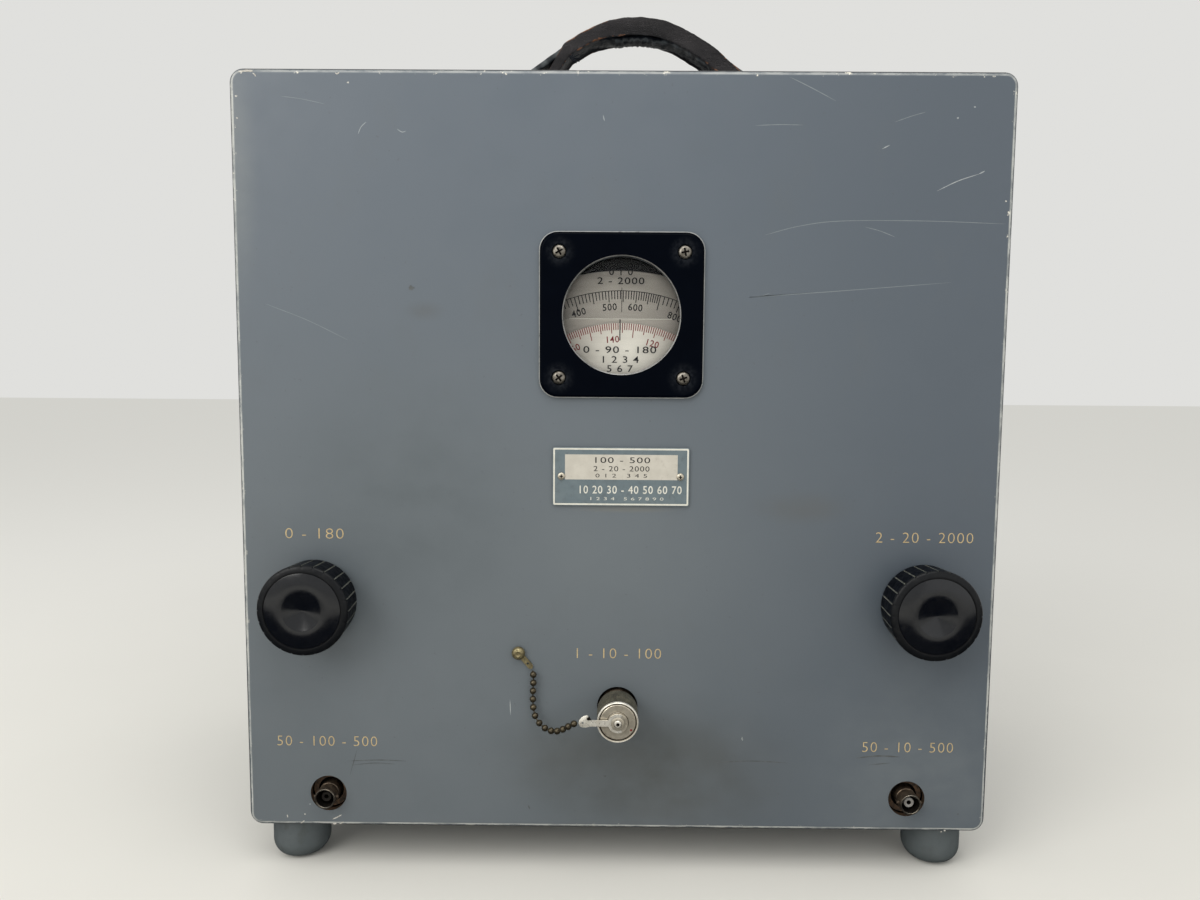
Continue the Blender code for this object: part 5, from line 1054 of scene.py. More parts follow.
def make_bezel():
    """The black bezel with a bare edge, a thin bright rim round its opening and four countersunk screws."""
    steps = 192
    half, corner = 37.8, 8.5
    rings = [square_ring(half, corner, SEAT, steps), square_ring(half, corner, BEZEL_TOP - 1.3, steps)]
    rings += [square_ring(half - 0.42, corner - 0.3, BEZEL_TOP - 0.75, steps)]
    rings += [square_ring(half - 1.3, corner - 0.8, BEZEL_TOP - 0.1, steps)]
    rings += [square_ring(half - 1.7, corner - 1.0, BEZEL_TOP, steps)]
    rings += [circle(radius, level, steps) for radius, level in
              (
                  (27.15, BEZEL_TOP), (27.0, BEZEL_TOP - 0.08), (WINDOW_RADIUS, BEZEL_TOP - 0.4),
                  (WINDOW_RADIUS, SEAT)
              )]
    bm = bmesh.new()
    skin(bm, rings, ring=True)
    tools = bmesh.new()
    places = [
        (x, up) for up in (BEZEL_SCREW_HALF, -BEZEL_SCREW_HALF) for x in (-BEZEL_SCREW_HALF, BEZEL_SCREW_HALF)
    ]
    for x, up in places:
        sink = [(0, BEZEL_TOP + 1), (3.55, BEZEL_TOP + 1), (3.55, BEZEL_TOP), (3.1, BEZEL_TOP - 1.1)]
        lathe(tools, [*sink, (1.9, BEZEL_TOP - 1.1), (1.9, -1), (0, -1)], 40, on_panel(x, up))
    bm = carved(bm, tools)
    for face in bm.faces:
        middle = face.calc_center_median()
        radius = hypot(middle.x, middle.y)
        if radius < 27.1 and middle.z > BEZEL_TOP - 0.5:
            face.material_index = 1
        elif max(abs(middle.x), abs(middle.y)) > 30 and middle.z < BEZEL_TOP - 0.7 and face.normal.z < 0.8:
            face.material_index = 2
    place = PANEL @ on_panel(WINDOW_X, WINDOW_UP)
    materials = [ENAMEL, RIM, BEVEL]
    add_piece("bezel", bm, materials, "case_body", place, 28, ["window_bezel"], weighted=True)
    names = ("top_left", "top_right", "bottom_left", "bottom_right")
    turns = (0.5, 0.2, 0.65, 0.35)
    for name, (x, up), turn in zip(names, places, turns):
        bm = bmesh.new()
        seat = on_panel(x, up, BEZEL_TOP - 1.05) @ Matrix.Rotation(turn, 4, "Z")
        cross_head_screw(bm, 3.0, 1.65, seat)
        rod(bm, 1.6, 0, -6, 20, seat)
        stands_for = [f"bezel_screw_{name}"]
        add_piece(
            f"frame_screw_{name}", bm, [BRONZE, RECESS_SHADE], "case_body", place, 35, stands_for
        )


def make_plate():
    """The plate under the window: blue-grey with a pale border and a pale inset, held by two screws."""
    left, right, low, high = -31.1, 32.5, 158.0, 185.3
    front = SEAT + 1.0

    def rectangle(inset, corner):
        loop = rounded_square(right - left - 2 * inset, high - low - 2 * inset, corner, 0, 5)
        return [(point.x + (left + right) / 2, point.y + (low + high) / 2) for point in loop]

    bm = bmesh.new()
    levels = ((rectangle(0, 0.9), SEAT), (rectangle(0, 0.9), front - 0.15), (rectangle(0.2, 0.8), front))
    skin(bm, [[Vector((x, y, level)) for x, y in points] for points, level in levels])
    add_frame(bm, rectangle(0.35, 0.6), rectangle(1.1, 0.3), front - 0.1, front + RAISED, 1)
    block(
        bm, [(-25.3, 170.3), (27.0, 170.3), (27.0, 182.0), (-25.3, 182.0)], front - 0.1, front + RAISED,
        slot=2
    )
    rows = (
        ("100 - 500", 179.3, 3.9, 25.5, 3), ("2 - 20 - 2000", 175.3, 3.5, 26.0, 3),
        ("0 1 2   3 4 5", 172.1, 2.5, 24.0, 3)
    )
    rows += (("10 20 30 - 40 50 60 70", 165.4, 5.2, 47.5, 1), ("1 2 3 4   5 6 7 8 9 0", 161.3, 2.0, 34.0, 1))
    for words, up, size, width, slot in rows:
        across = 0.95 if slot == 3 else 4.9 if size > 3 else 3.3
        text_shape(
            bm, words, size, on_panel(across, up, front + RAISED), slot, weight=0.05 if size > 5 else 0.0,
            width=width
        )
    materials = [BAND, BORDER, BRIGHT_PLATE, INK]
    add_piece(
        "rating_plate", bm, materials, "case_body", angle=30, stands_for=["nameplate"]
    )
    for name, side in (("left", -1), ("right", 1)):
        bm = bmesh.new()
        seat = on_panel(PLATE_X - 0.3 + side * (PLATE_SCREW_HALF + 0.8), PLATE_UP + 0.4, front + RAISED)
        cross_head_screw(bm, 1.7, 0.9, seat, recess=0.5)
        rod(bm, 0.9, 0, -4, 16, seat)
        stands_for = [f"nameplate_screw_{name}"]
        add_piece(
            f"plate_screw_{name}", bm, [NICKEL, RECESS_SHADE], "case_body", angle=35, stands_for=stands_for,
        )


def add_frame(bm, outer, inner, low, high, slot):
    """A flat frame between two outlines that have as many points as each other."""
    loops = [[Vector((x, y, level)) for x, y in outline] for outline, level in
             ((outer, low), (outer, high), (inner, high), (inner, low))]
    skin(bm, loops, ring=True, slot=slot)


# Dials


def add_bar(bm, centre, turn, inner, outer, width, level, slot):
    """A thin raised mark that runs towards a dial's centre; turn runs clockwise from straight up."""
    place = Matrix.Translation((*centre, 0)) @ Matrix.Rotation(-turn, 4, "Z")
    half = width / 2
    block(
        bm, [(-half, inner), (half, inner), (half, outer), (-half, outer)], level, level + RAISED, place, slot
    )


def dial_text(bm, words, centre, turn, radius, size, level, slot, squeeze=0.94):
    place = Matrix.Translation(
        (*centre, level)
    ) @ Matrix.Rotation(-turn, 4, "Z") @ Matrix.Translation((0, radius, 0))
    text_shape(bm, words, size, place, slot, squeeze, 0.06)


def add_arc(bm, centre, radius, width, start, end, level, slot, steps=120):
    """A thin raised ring segment about the centre, between two turns clockwise from straight up."""
    outer = []
    inner = []
    for step in range(steps + 1):
        turn = start + (end - start) * step / steps
        outer.append(
            (centre[0] + (radius + width / 2) * sin(turn), centre[1] + (radius + width / 2) * cos(turn))
        )
        inner.append(
            (centre[0] + (radius - width / 2) * sin(turn), centre[1] + (radius - width / 2) * cos(turn))
        )
    for index in range(steps):
        quad = [outer[index], outer[index + 1], inner[index + 1], inner[index]]
        block(bm, quad, level, level + RAISED, slot=slot)


OHMS_READ = 543.0
OHM_DECADE = radians(123.5)
DEGREES_READ = 135.6
DEGREE_TURN = radians(0.97)


def make_impedance_dial():
    """The large disc with a logarithmic scale, read at 543 under the hairline."""
    level, radius, bore = -9.5, 87.4, 8.3
    bm = bmesh.new()
    profile = [
        (bore, level), (radius - 0.2, level), (radius, level - 0.2), (radius, level - 1.2),
        (bore, level - 1.2)
    ]
    lathe(bm, profile, 192, ring=True)
    scale = 78.1
    add_arc(bm, (0, 0), scale, 0.34, 0, 2 * pi, level, 1, 240)
    value = 20
    while value <= 2000:
        unit = 10 ** floor(log10(value) + 1e-9)
        turn = OHM_DECADE * log10(value / OHMS_READ)
        place = round(value / unit * 10)
        length = 7.0 if place in (10, 20, 40, 70) else 5.2 if place % 5 == 0 else 3.9
        add_bar(bm, (0, 0), turn, scale - length, scale, 0.44, level, 1)
        if place in (10, 15, 20, 30, 40, 50, 60, 80):
            dial_text(bm, str(round(value)), (0, 0), turn, 70.5, 4.5, level, 1)
        value = round(value + (unit / 10 if place < 70 else unit / 5), 6)
    place = PANEL @ on_panel(DIAL_X, DIAL_UP)
    add_piece(
        "impedance_disc", bm, [DIAL, INK], "impedance_train", place, 30, ["impedance_dial"]
    )


def make_angle_dial():
    """The small bright disc with a red scale of degrees, read at 135.6 under the hairline."""
    level, radius, bore = -6.0, 63.0, 4.3
    bm = bmesh.new()
    profile = [
        (bore, level), (radius - 0.15, level), (radius, level - 0.15), (radius, level - 1.2),
        (bore, level - 1.2)
    ]
    lathe(bm, profile, 160, ring=True)
    edge = radius - 0.1
    for unit in range(-180, 181):
        turn = -DEGREE_TURN * (unit - DEGREES_READ)
        slot = 1 if unit >= 0 else 2
        length = 3.1
        if unit % 10 == 0:
            length = 4.7 if unit % 20 == 0 else 6.6
        elif unit % 5 == 0:
            length = 4.5
        add_bar(bm, (0, 0), turn, edge - length, edge, 0.4, level, slot)
        if unit % 20 == 0:
            dial_text(bm, str(abs(unit)), (0, 0), turn, 55.3, 4.3, level, slot)
    place = PANEL @ on_panel(DIAL_X, DIAL_UP)
    add_piece(
        "angle_disc", bm, [ANGLE_DIAL, RED_INK, INK], "angle_train", place, 30, ["angle_dial"]
    )


def make_window_marks():
    """The hairlines and plain marks on the cursor plate and on the back of the glass, and a painted highlight
    along the cursor plate's lower edge.
    """
    bm = bmesh.new()
    add_bar(bm, (0.5, 0), 0, 248.1, 259.3, 0.28, CURSOR_FRONT, 0)
    text_shape(bm, "2 - 2000", 4.4, on_panel(0, 262.3, CURSOR_FRONT + RAISED / 2), 0, weight=0.03, width=21.9)
    text_shape(bm, "0 1 0", 4.4, on_panel(0, 266.4, CURSOR_FRONT + RAISED / 2), 0, weight=0.03, width=11.0)
    # A pale line along the cursor plate's lower edge: a painted highlight.
    block(
        bm, [(-24, 244.75), (24, 244.75), (24, 244.98), (-24, 244.98)], CURSOR_FRONT, CURSOR_FRONT + RAISED,
        slot=1
    )
    add_piece("cursor_marks", bm, [INK, BORDER], "case_body")
    bm = bmesh.new()
    back = -2.0 - RAISED
    add_bar(bm, (-0.3, 0), 0, 234.7, 244.4, 0.5, back, 0)
    for words, up, width in (("0 - 90 - 180", 230.3, 33.8), ("1 2 3 4", 225.8, 16.7), ("5 6 7", 221.6, 12.0)):
        text_shape(bm, words, 4.4, on_panel(-0.3, up, back + RAISED / 2), 0, weight=0.03, width=width)
    add_piece("glass_marks", bm, [INK], "case_body")


# Knobs

GROOVES = 24


def knob_ring(radius, level, flute):
    """A circle with narrow grooves cut in to the given share of their depth."""
    points = []
    depths = (1.0, 0.9, 0.0, 0.0, 0.0, 0.0, 0.0, 0.9)
    offsets = (0.0, 0.30, 0.44, 1.9, 4.0, 6.1, 7.56, 7.70)
    for groove in range(GROOVES):
        for depth, offset in zip(depths, offsets):
            turn = 2 * pi * (groove + offset / 8) / GROOVES
            reach = radius - 0.42 * flute * depth
            points.append(Vector((reach * cos(turn), reach * sin(turn), level)))
    return points


def make_knob(name, x, body):
    """A fluted knob: a raised front inside a thin groove, a rounded shoulder and a conical middle."""
    front, rim = 22.5, 21.4
    rows = [
        (3.5, 1.2, 0),
        (17.1, 1.2, 0),
        (19.0, 1.5, 0.7),
        (19.6, 2.4, 1),
        (20.75, rim - 1.9, 1),
        (20.8, rim - 1.5, 1),
        (20.7, rim - 1.1, 0.8),
        (20.4, rim - 0.72, 0.6),
        (19.9, rim - 0.42, 0.3),
        (19.2, rim - 0.2, 0.1),
        (18.5, rim - 0.06, 0),
        (18.0, rim, 0),
        (17.75, rim - 0.04, 0),
        (17.68, rim - 0.5, 0),
        (17.38, rim - 0.5, 0),
        (17.3, rim - 0.08, 0),
        (17.1, rim, 0),
        (13.0, rim + 0.56, 0),
        (9.05, front - 0.01, 0),
        (8.8, front - 0.1, 0),
        (4.4, front - 1.2, 0),
        (0.8, front - 2.1, 0),
    ]
    bm = bmesh.new()
    loops = [knob_ring(*row) for row in rows]
    faces = skin(bm, [*loops, [Vector((0, 0, front - 2.2))]])
    for face in faces:
        middle = face.calc_center_median()
        turn = (atan2(middle.y, middle.x) / (2 * pi) * GROOVES) % 1.0
        radius = hypot(middle.x, middle.y)
        if radius < 17.5 and middle.z > rim - 1.7:
            face.material_index = 2
        elif middle.z > rim - 1.7:
            face.material_index = 3
        elif min(turn, 1 - turn) * 8 < 0.42 and 17.5 < radius and 2 < middle.z:
            face.material_index = 1
    place = PANEL @ on_panel(x, KNOB_UP)
    add_piece(
        f"{name}_knob_body", bm, [PLASTIC, DUST, KNOB_FACE, SHOULDER], body, place, 32, [f"{name}_knob"],
    )


# Port and jacks


def make_port():
    """The capped port: its threaded body, the knurled cap, and the lug held by the cap's rivet."""
    seat = 20.3
    place = PANEL @ on_panel(0, PORT_UP)
    bm = bmesh.new()
    profile = [(0, 9), (1.6, 9), (1.6, 4.5), (5.4, 4.5), (5.4, 13.5), (7.9, 13.5)]
    level = 13.0
    while level > -15:
        profile += [(7.9, level), (7.5, level - 0.53)]
        level -= 1.06
    profile += [(7.9, -17.1), (12.5, -17.1), (12.5, -19.7), (7.9, -19.7), (7.9, -22.4), (0, -22.4)]
    lathe(bm, profile, 64)
    add_piece("port_body", bm, [JACK], "case_body", place, 30, ["unknown_connector"])

    bm = bmesh.new()
    teeth = 72

    def ridged(radius, depth, level):
        points = []
        for k in range(2 * teeth):
            reach = radius - depth * (k % 2)
            points.append(Vector((reach * cos(pi * k / teeth), reach * sin(pi * k / teeth), level)))
        return points

    # Rows in slot 4 are painted shade: the groove behind the knurl, the step inside the rim, thin rings round
    # the lug and the rivet, and the rivet's dimple.
    rows = [(8.2, 0, 17.5, 0), (8.2, 0, 3.6, 0), (9.0, 0, 3.6, 0), (9.3, 0, 3.9, 1), (9.52, 0.3, 4.3, 1)]
    rows += [
        (9.52, 0.3, 17.0, 1), (9.3, 0, 17.4, 1), (8.9, 0, 17.6, 4), (8.9, 0, 18.0, 4), (9.4, 0, 18.25, 2)
    ]
    rows += [
        (9.52, 0, 18.45, 2), (9.52, 0, 19.4, 2), (9.45, 0, 19.75, 2), (9.15, 0, 20.0, 2), (8.9, 0, 19.95, 2)
    ]
    rows += [(8.62, 0, 19.6, 3), (8.4, 0, 19.2, 4), (8.2, 0, 19.3, 4), (7.9, 0, 19.5, 0), (4.95, 0, 19.5, 0)]
    rows += [
        (4.85, 0, 19.4, 4), (4.7, 0, 19.4, 4), (4.6, 0, 19.5, 0), (2.0, 0, 19.5, 0), (2.0, 0, seat + 1.1, 0)
    ]
    rows += [
        (2.9, 0, seat + 1.1, 4), (3.1, 0, seat + 1.2, 4), (2.95, 0, seat + 1.4, 3), (2.6, 0, seat + 1.5, 3)
    ]
    rows += [
        (1.75, 0, seat + 1.5, 3), (1.65, 0, seat + 1.4, 4), (1.5, 0, seat + 1.5, 2), (1.25, 0, seat + 1.9, 2)
    ]
    rows += [(0.8, 0, seat + 1.95, 2), (0.4, 0, seat + 1.45, 4)]
    loops = [[Vector((0, 0, 17.5))]]
    slots = [0]
    for radius, depth, level, slot in rows:
        loops.append(ridged(radius, depth, level))
        slots.append(slot)
    loops.append([Vector((0, 0, seat + 1.4))])
    slots.append(4)
    for first, second, slot in zip(loops, loops[1:], slots[1:]):
        skin(bm, [first, second], capped=False, slot=slot)
    bmesh.ops.remove_doubles(bm, verts=bm.verts, dist=0.0001)
    materials = [NICKEL, KNURL, BRIGHT, NICKEL, RECESS_SHADE]
    add_piece("screw_cap", bm, materials, "cap", place, 28, ["cap_nut"])

    bm = bmesh.new()
    low, high, half = seat, seat + 0.8, 1.45
    ring_outer, ring_inner = 4.6, 2.3
    start = radians(198.5)
    turns = [start + radians(323) * step / 40 for step in range(41)]
    outline = [(ring_outer * cos(turn), ring_outer * sin(turn)) for turn in turns]
    outline += [
        (-11.4, half), (-13.6, 1.3), (-14.4, 1.9), (-14.2, 2.7), (-13.5, 3.2), (-14.0, 3.7), (-15.4, 3.4)
    ]
    outline += [
        (-16.6, 2.6), (-17.5, 1.4), (-17.9, 0.2), (-17.4, -1.2), (-16.3, -1.9), (-14.6, -2.0), (-12.9, -half)
    ]
    shape = bmesh.new()
    inset = [(point[0] * 0.985, point[1] * (0.965 if abs(point[1]) > 1 else 1)) for point in outline]
    levels = ((inset, low), (outline, low + 0.12), (outline, high - 0.12), (inset, high))
    skin(shape, [[Vector((x, y, z)) for x, y in points] for points, z in levels])
    tool = bmesh.new()
    rod(tool, ring_inner, high + 1, low - 1, 40)
    rod(tool, 0.5, high + 1, low - 1, 20, on_panel(-16.0, 0.2))
    lug = carved(shape, tool)
    for face in lug.faces:
        if face.calc_center_median().x > -5:
            face.material_index = 1
    # A dark patch at the bottom of the hook's notch: painted shade.
    block(lug, [(-14.4, 1.2), (-12.0, 1.2), (-12.9, 3.0), (-14.2, 2.7)], low, low + 0.35, slot=2)
    add_piece("cap_strap", lug, [BRIGHT, NICKEL, RECESS_SHADE], "cap_clip", place, 35, ["cap_lug"])

    bm = bmesh.new()
    lathe(bm, [(0, 19.4), (0.5, 19.4), (0.5, 19.52), (0.35, 19.6), (0, 19.62)], 20, on_panel(6.1, -3.6))
    add_piece("cap_index_dot", bm, [RED_INK], "cap", place, 35)


def make_chain_anchor():
    """The round-headed screw beside the port and the lug that it holds."""
    place = PANEL @ on_panel(CHAIN_SCREW_X, CHAIN_SCREW_UP)
    bm = bmesh.new()
    seat = 1.3
    head = [(0, seat + 1.7), (0.7, seat + 1.75), (1.0, seat + 2.0), (1.5, seat + 2.05), (1.75, seat + 1.85)]
    head += [(2.1, seat + 1.8), (2.4, seat + 1.6), (2.85, seat + 1.0), (3.1, seat + 0.5), (3.15, seat)]
    head += [(1.5, seat), (1.5, -3.5), (0, -3.5)]
    lathe(bm, head, 48)
    add_piece("chain_anchor_screw", bm, [BRASS], "case_body", place, 25, ["chain_screw"])

    reach, half, turn = 8.6, 1.3, radians(-49)
    outline = [
        (2.9 * cos(radians(27 + 306 * k / 30)), 2.9 * sin(radians(27 + 306 * k / 30))) for k in range(31)
    ]
    outline += [
        (reach + half * cos(-pi / 2 + pi * k / 12), half * sin(-pi / 2 + pi * k / 12)) for k in range(13)
    ]
    shape = bmesh.new()
    block(shape, outline, SEAT, SEAT + 0.7)
    tool = bmesh.new()
    rod(tool, 1.8, 3, -1, 32)
    rod(tool, 0.55, 3, -1, 20, on_panel(reach - 1.9, 0))
    lug = carved(shape, tool)
    for face in lug.faces:
        if face.normal.z < 0.5 and face.calc_center_median().x > reach - 0.6:
            face.material_index = 1
    lug.transform(Matrix.Rotation(turn, 4, "Z"))
    add_piece("chain_tab", lug, [BRASS, BRIGHT], "case_body", place, 35, ["chain_lug"])


def make_jack(name, x, lining):
    """A small bayonet jack on the chassis, standing in its clearance hole, with a lined bore."""
    place = PANEL @ on_panel(x, JACK_UP)
    front, floor = 6.5, -2.0
    shell = [(0, floor), (4.1, floor), (4.1, front - 0.3), (4.3, front), (4.7, front), (4.85, front - 0.2)]
    shell += [
        (4.85, 1.2), (4.6, 1.0), (4.6, -0.4), (4.85, -0.6), (4.85, -9.0), (6.1, -9.0), (6.1, -4.4),
        (8.4, -4.4)
    ]
    shell += [(8.4, -5.6), (6.6, -5.6), (6.6, -17.1), (8.0, -17.1)]
    shell += [(8.0, -19.7), (4.2, -19.7), (4.2, -36), (0, -36)]
    bm = bmesh.new()
    lathe(bm, shell, 64)
    for side in (-1, 1):
        lug = Matrix.Translation((side * 4.6, 0, 3.6)) @ Matrix.Rotation(side * pi / 2, 4, "Y")
        lathe(bm, [(0, 1.25), (0.75, 1.25), (0.95, 1.05), (0.95, 0), (0, 0)], 20, lug)
    for face in bm.faces:
        middle = face.calc_center_median()
        radius = hypot(middle.x, middle.y)
        if radius > 6.0 and middle.z > -5.7:
            face.material_index = 1
        elif 4.15 < radius < 4.85 and middle.z > front - 0.4:
            face.material_index = 2
        # The bore and the flange behind the panel take painted shade.
        elif radius < 4.15 or -9.1 < middle.z < -4.6 and radius > 5.0:
            face.material_index = 3
    add_piece(
        f"{name}_socket", bm, [JACK, RAW_HOLE, STEEL, RECESS_SHADE], "case_body", place, 32, [f"{name}_jack"],
    )

    bm = bmesh.new()
    core = [
        (0, 1.0), (1.0, 1.0), (1.05, 3.6), (1.2, 3.75), (2.2, 3.75), (2.4, 3.55), (2.4, floor + SEAT),
        (0, floor + SEAT)
    ]
    lathe(bm, core, 40)
    for face in bm.faces:
        middle = face.calc_center_median()
        # The contact hole takes painted shade.
        if hypot(middle.x, middle.y) < 1.08 and middle.z > 0.5:
            face.material_index = 1
    add_piece(f"{name}_core", bm, [lining, RECESS_SHADE], "case_body", place, 32, [f"{name}_insulator"])


# Gold-filled marks in the places of the printed words

MARKS = (
    ("phase", "0 - 180", -143.1, 143.3, 27.5),
    ("magnitude", "2 - 20 - 2000", 143.1, 143.6, 45.5),
    ("port", "1 - 10 - 100", -0.1, 86.8, 40.0),
    ("generator", "50 - 100 - 500", -139.2, 42.4, 48.0),
    ("detector", "50 - 10 - 500", 139.0, 42.0, 43.3),
)


def make_marks():
    """Plain gold-filled numbers over each control and connector."""
    for name, words, x, up, width in MARKS:
        bm = bmesh.new()
        text_shape(bm, words, 7.3, on_panel(x, up, RAISED / 2), weight=-0.13, width=width)
        add_piece(f"mark_{name}", bm, [GOLD], "case_body")


# Wear on the panel, placed by where it shows in the picture: points in pixels, width in millimetres, tone

SCRATCHES = (
    (((603, 115), (604.5, 121)), 0.45, 0),
    (((358, 134), (361, 127), (366, 122)), 0.3, 0),
    (((397, 129), (402, 132), (406, 131)), 0.3, 0),
    (((755, 125.5), (780, 124.6), (803, 125)), 0.3, 1),
    (((790, 77), (812, 88), (836, 101)), 0.35, 1),
    (((280, 96), (302, 99), (325, 104)), 0.3, 1),
    (((765, 235), (800, 226), (842, 221), (925, 221), (1006, 224)), 0.3, 1),
    (((865, 227), (880, 231), (895, 237)), 0.3, 1),
    (((770, 293), (762, 296), (754, 297), (840, 291), (951, 282.5)), 0.28, 1),
    (((937, 191), (958, 181), (979, 174)), 0.35, 0),
    (((979, 174), (985, 171)), 0.5, 0),
    (((895, 122), (912, 116), (926, 112)), 0.3, 1),
    (((882, 149), (890, 145)), 0.35, 0),
    (((266, 304), (307, 320), (348, 340)), 0.3, 1),
    (((742, 737), (742.6, 741)), 0.5, 0),
    (((712, 763), (750, 761), (788, 763)), 0.5, 2),
    (((348, 761), (378, 760), (406, 761)), 0.4, 2),
    (((350, 775), (357, 750)), 0.35, 2),
    (((352, 765), (374, 763), (395, 764)), 0.35, 2),
    (((856, 758), (878, 756), (900, 757)), 0.7, 2),
    (((868, 765), (890, 763)), 0.45, 2),
    (((510, 700), (510.6, 715)), 0.35, 0),
    (((528, 805), (530, 809)), 0.6, 2),
    (((332.6, 819.2), (337, 817.2), (341.6, 814.8)), 0.6, 3),
    (((332.8, 823.3), (334.6, 823.6), (336.6, 823.2)), 0.7, 3),
    (((339.4, 824), (341.4, 823), (343.6, 821.8)), 0.45, 3),
    (((300.8, 823.2), (302.6, 822), (304.6, 820.4)), 0.5, 3),
    (((287.2, 814.4), (287.8, 817.6)), 0.45, 3),
    (((238, 72), (246, 70.6), (253, 71)), 0.8, 3),
    (((252.6, 73), (254.6, 74.5), (255.6, 76.5)), 0.5, 3),
    (((335, 72.6), (337, 73.8), (339.5, 72)), 0.5, 3),
)
CHIPS = (
    (305, 814, 0.35, 3), (310, 804, 0.35, 0), (944.7, 830.5, 0.5, 3), (941, 831.8, 0.4, 3),
    (958, 814, 0.5, 2), (348, 82.5, 0.4, 3),
    (958, 118, 0.4, 0), (975, 107, 0.4, 0), (411, 288, 1.3, 2), (650, 421, 0.35, 2), (605, 776, 0.8, 2),
    (1008, 215, 0.4, 3), (1006, 201, 0.4, 3), (742, 739, 0.35, 0), (236, 96, 0.5, 3), (237, 118, 0.4, 3),
)


def make_scratches():
    """Thin raised marks: bright and faint scratches, dark scuffs and cream chips."""
    bm = bmesh.new()
    for pixels, width, slot in SCRATCHES:
        points = smooth_route([(*seen(*pixel), 0) for pixel in pixels], 6)
        lines = ([], [])
        for index, point in enumerate(points):
            before = points[max(index - 1, 0)]
            ahead = (points[min(index + 1, len(points) - 1)] - before).normalized()
            full = min(index, len(points) - 1 - index, 2) / 2 * 0.8 + 0.2
            half = width / 2 * full * (1 + 0.4 * noise.noise(point * 0.7))
            for line, side in zip(lines, (1, -1)):
                line.append((point.x - ahead.y * half * side, point.y + ahead.x * half * side))
        block(bm, [*lines[0], *reversed(lines[1])], 0, RAISED, slot=slot)
    for u, v, radius, slot in CHIPS:
        across, up = seen(u, v)
        outline = []
        for step in range(14):
            turn = 2 * pi * step / 14
            reach = radius * (0.8 + 0.55 * noise.noise(Vector((cos(turn) * 1.7 + u, sin(turn) * 1.7, v))))
            outline.append((across + 1.3 * reach * cos(turn), up + reach * sin(turn)))
        block(bm, outline, 0, RAISED, slot=slot)
    add_piece("panel_wear", bm, [SCRATCH, FAINT, SCUFF, CHIP], "case_body")


# CAD nodes that stay as they are

KEPT = {
    "rear_cover": PAINT,
    "window_glass": GLASS,
    "cursor_plate": SHEET,
}


def dress_kept_nodes():
    """Give every CAD node that still shows its own finish."""
    slots = {
        "plated_steel": SHAFT,
        "dark_steel": SHAFT,
        "brass": YELLOW,
        "tarnished_brass": JACK,
        "aluminium": ALLOY,
        "cable": CABLE,
        "dial_metal": DIAL,
        "black_enamel": CHASSIS,
        "case_paint": PAINT,
        "insulator": WHITE,
        "dark_insulator": DARK,
    }
    for name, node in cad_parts.items():
        if node.hide_render:
            continue
        finish = KEPT.get(name)
        if finish is None:
            held = node.data.materials[0].name if node.data.materials else ""
            finish = next((material for key, material in slots.items() if held.startswith(key)), ALLOY)
        node.data.materials.clear()
        node.data.materials.append(finish)


# Surroundings


def make_floor():
    finish = Finish("studio_floor", 0.8, 0.0, Specular_IOR_Level=0.0)
    shade = finish.step(finish.noise(3.0, 4.0), 0.3, 0.7)
    near = finish.mix(shade, (0.752, 0.738, 0.692), (0.782, 0.768, 0.720))
    # Darker near the object, where the lamps light the floor most, and paler far off: painted shade and light
    # that even the floor out to the room's tone.
    finish.colour(finish.mix(finish.spot((0, -0.3, 0), (1.3, 1.3, 1.0)), (0.862, 0.856, 0.826), near))
    finish.bump(finish.noise(900.0, 2.0), 0.00002)
    bm = bmesh.new()
    bmesh.ops.create_grid(bm, x_segments=1, y_segments=1, size=6.0)
    floor_piece = add_piece("floor", bm, [finish.material], None, Matrix.Identity(4))


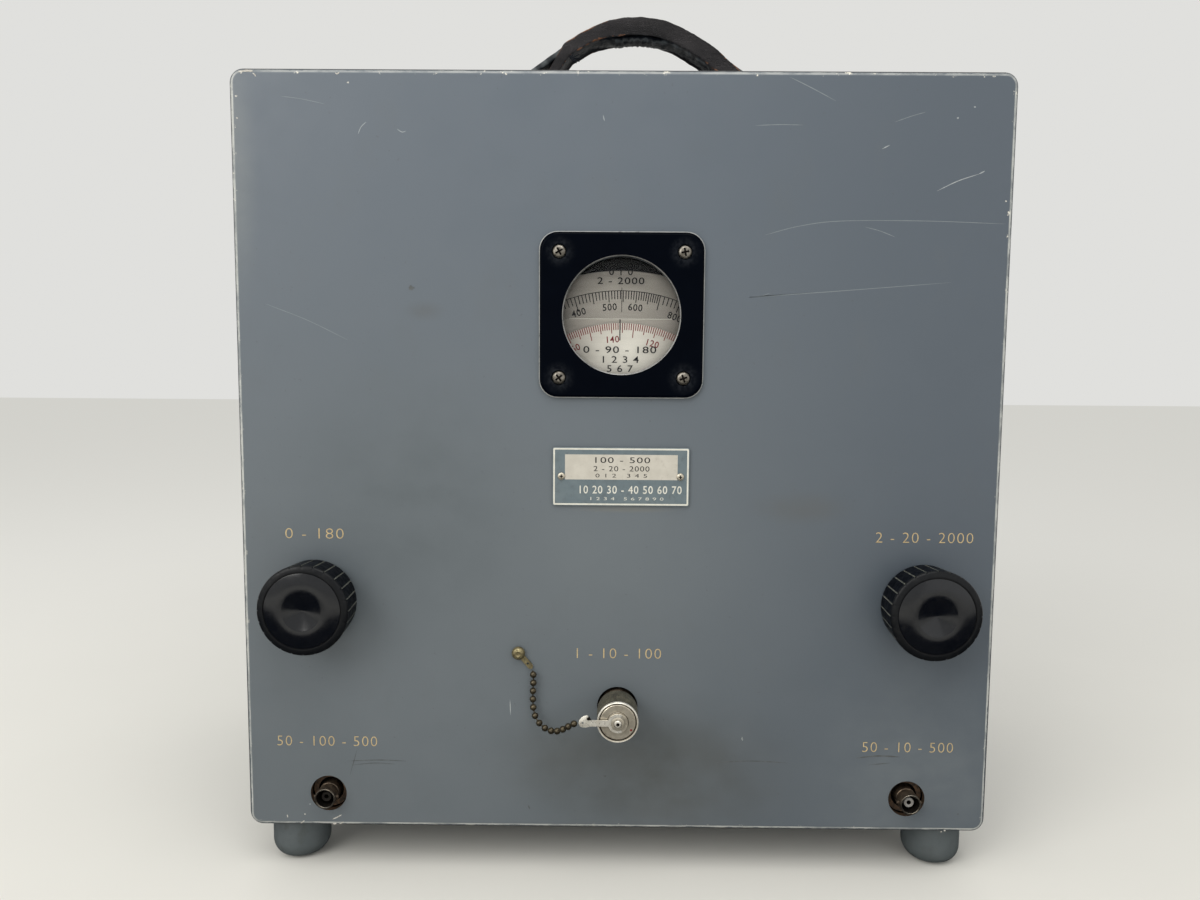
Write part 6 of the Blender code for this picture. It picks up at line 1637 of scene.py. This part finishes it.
def make_dark_card():
    """A dark card lying in front of the object, which only its reflections see."""
    finish = Finish("dark_card", 0.9, 0.0, Specular_IOR_Level=0.0)
    finish.shader.inputs["Base Color"].default_value = (0.01, 0.011, 0.013, 1)
    bm = bmesh.new()
    corners = [(-1.6, -0.52), (1.6, -0.52), (1.6, 0.10), (-1.6, 0.10)]
    block(bm, corners, 0.002, 0.004)
    card = add_piece("dark_card", bm, [finish.material], None, Matrix.Identity(4))
    card.visible_camera = False
    card.visible_diffuse = False
    card.visible_shadow = False
    card.visible_transmission = False


def make_lights():
    """A pale room with a broad soft light in front on the left, a weaker one on the right and one above."""
    world = bpy.data.worlds.new("room")
    bpy.context.scene.world = world
    world.use_nodes = True
    sky = world.node_tree.nodes["Background"]
    sky.inputs["Color"].default_value = (1.0, 0.998, 0.972, 1)
    sky.inputs["Strength"].default_value = 0.745
    lamps = (
        ("key", (-0.95, -1.15, 0.95), 9.6, 0.9, (1.0, 0.985, 0.95)),
        ("fill", (0.9, -1.3, 0.5), 1.5, 1.2, (0.97, 0.985, 1.0)),
        ("top", (0.05, -0.50, 0.85), 2.3, 0.5, (1.0, 0.99, 0.965)),
    )
    for name, place, power, size, tint in lamps:
        data = bpy.data.lights.new(name, "AREA")
        data.energy = power
        data.size = size
        data.color = tint
        lamp = bpy.data.objects.new(name, data)
        bpy.context.scene.collection.objects.link(lamp)
        lamp.location = place
        aim = Vector((0, 0, -1)) if name == "top" else Vector((0, 0, 0.18)) - Vector(place)
        lamp.rotation_euler = aim.to_track_quat("-Z", "Y").to_euler()


bpy.context.scene.view_settings.view_transform = "Standard"
make_camera()
make_chain()
make_case()
make_feet()
make_rear_screws()
make_handle_rings()
make_grip()
make_bezel()
make_plate()
make_impedance_dial()
make_angle_dial()
make_window_marks()
for knob_name, knob_x, knob_body in KNOBS:
    make_knob(knob_name, knob_x, knob_body)
make_port()
make_chain_anchor()
for (jack_name, jack_x), jack_lining in zip(JACKS, (DARK, WHITE)):
    make_jack(jack_name, jack_x, jack_lining)
make_marks()
make_scratches()
dress_kept_nodes()
make_floor()
make_dark_card()
make_lights()
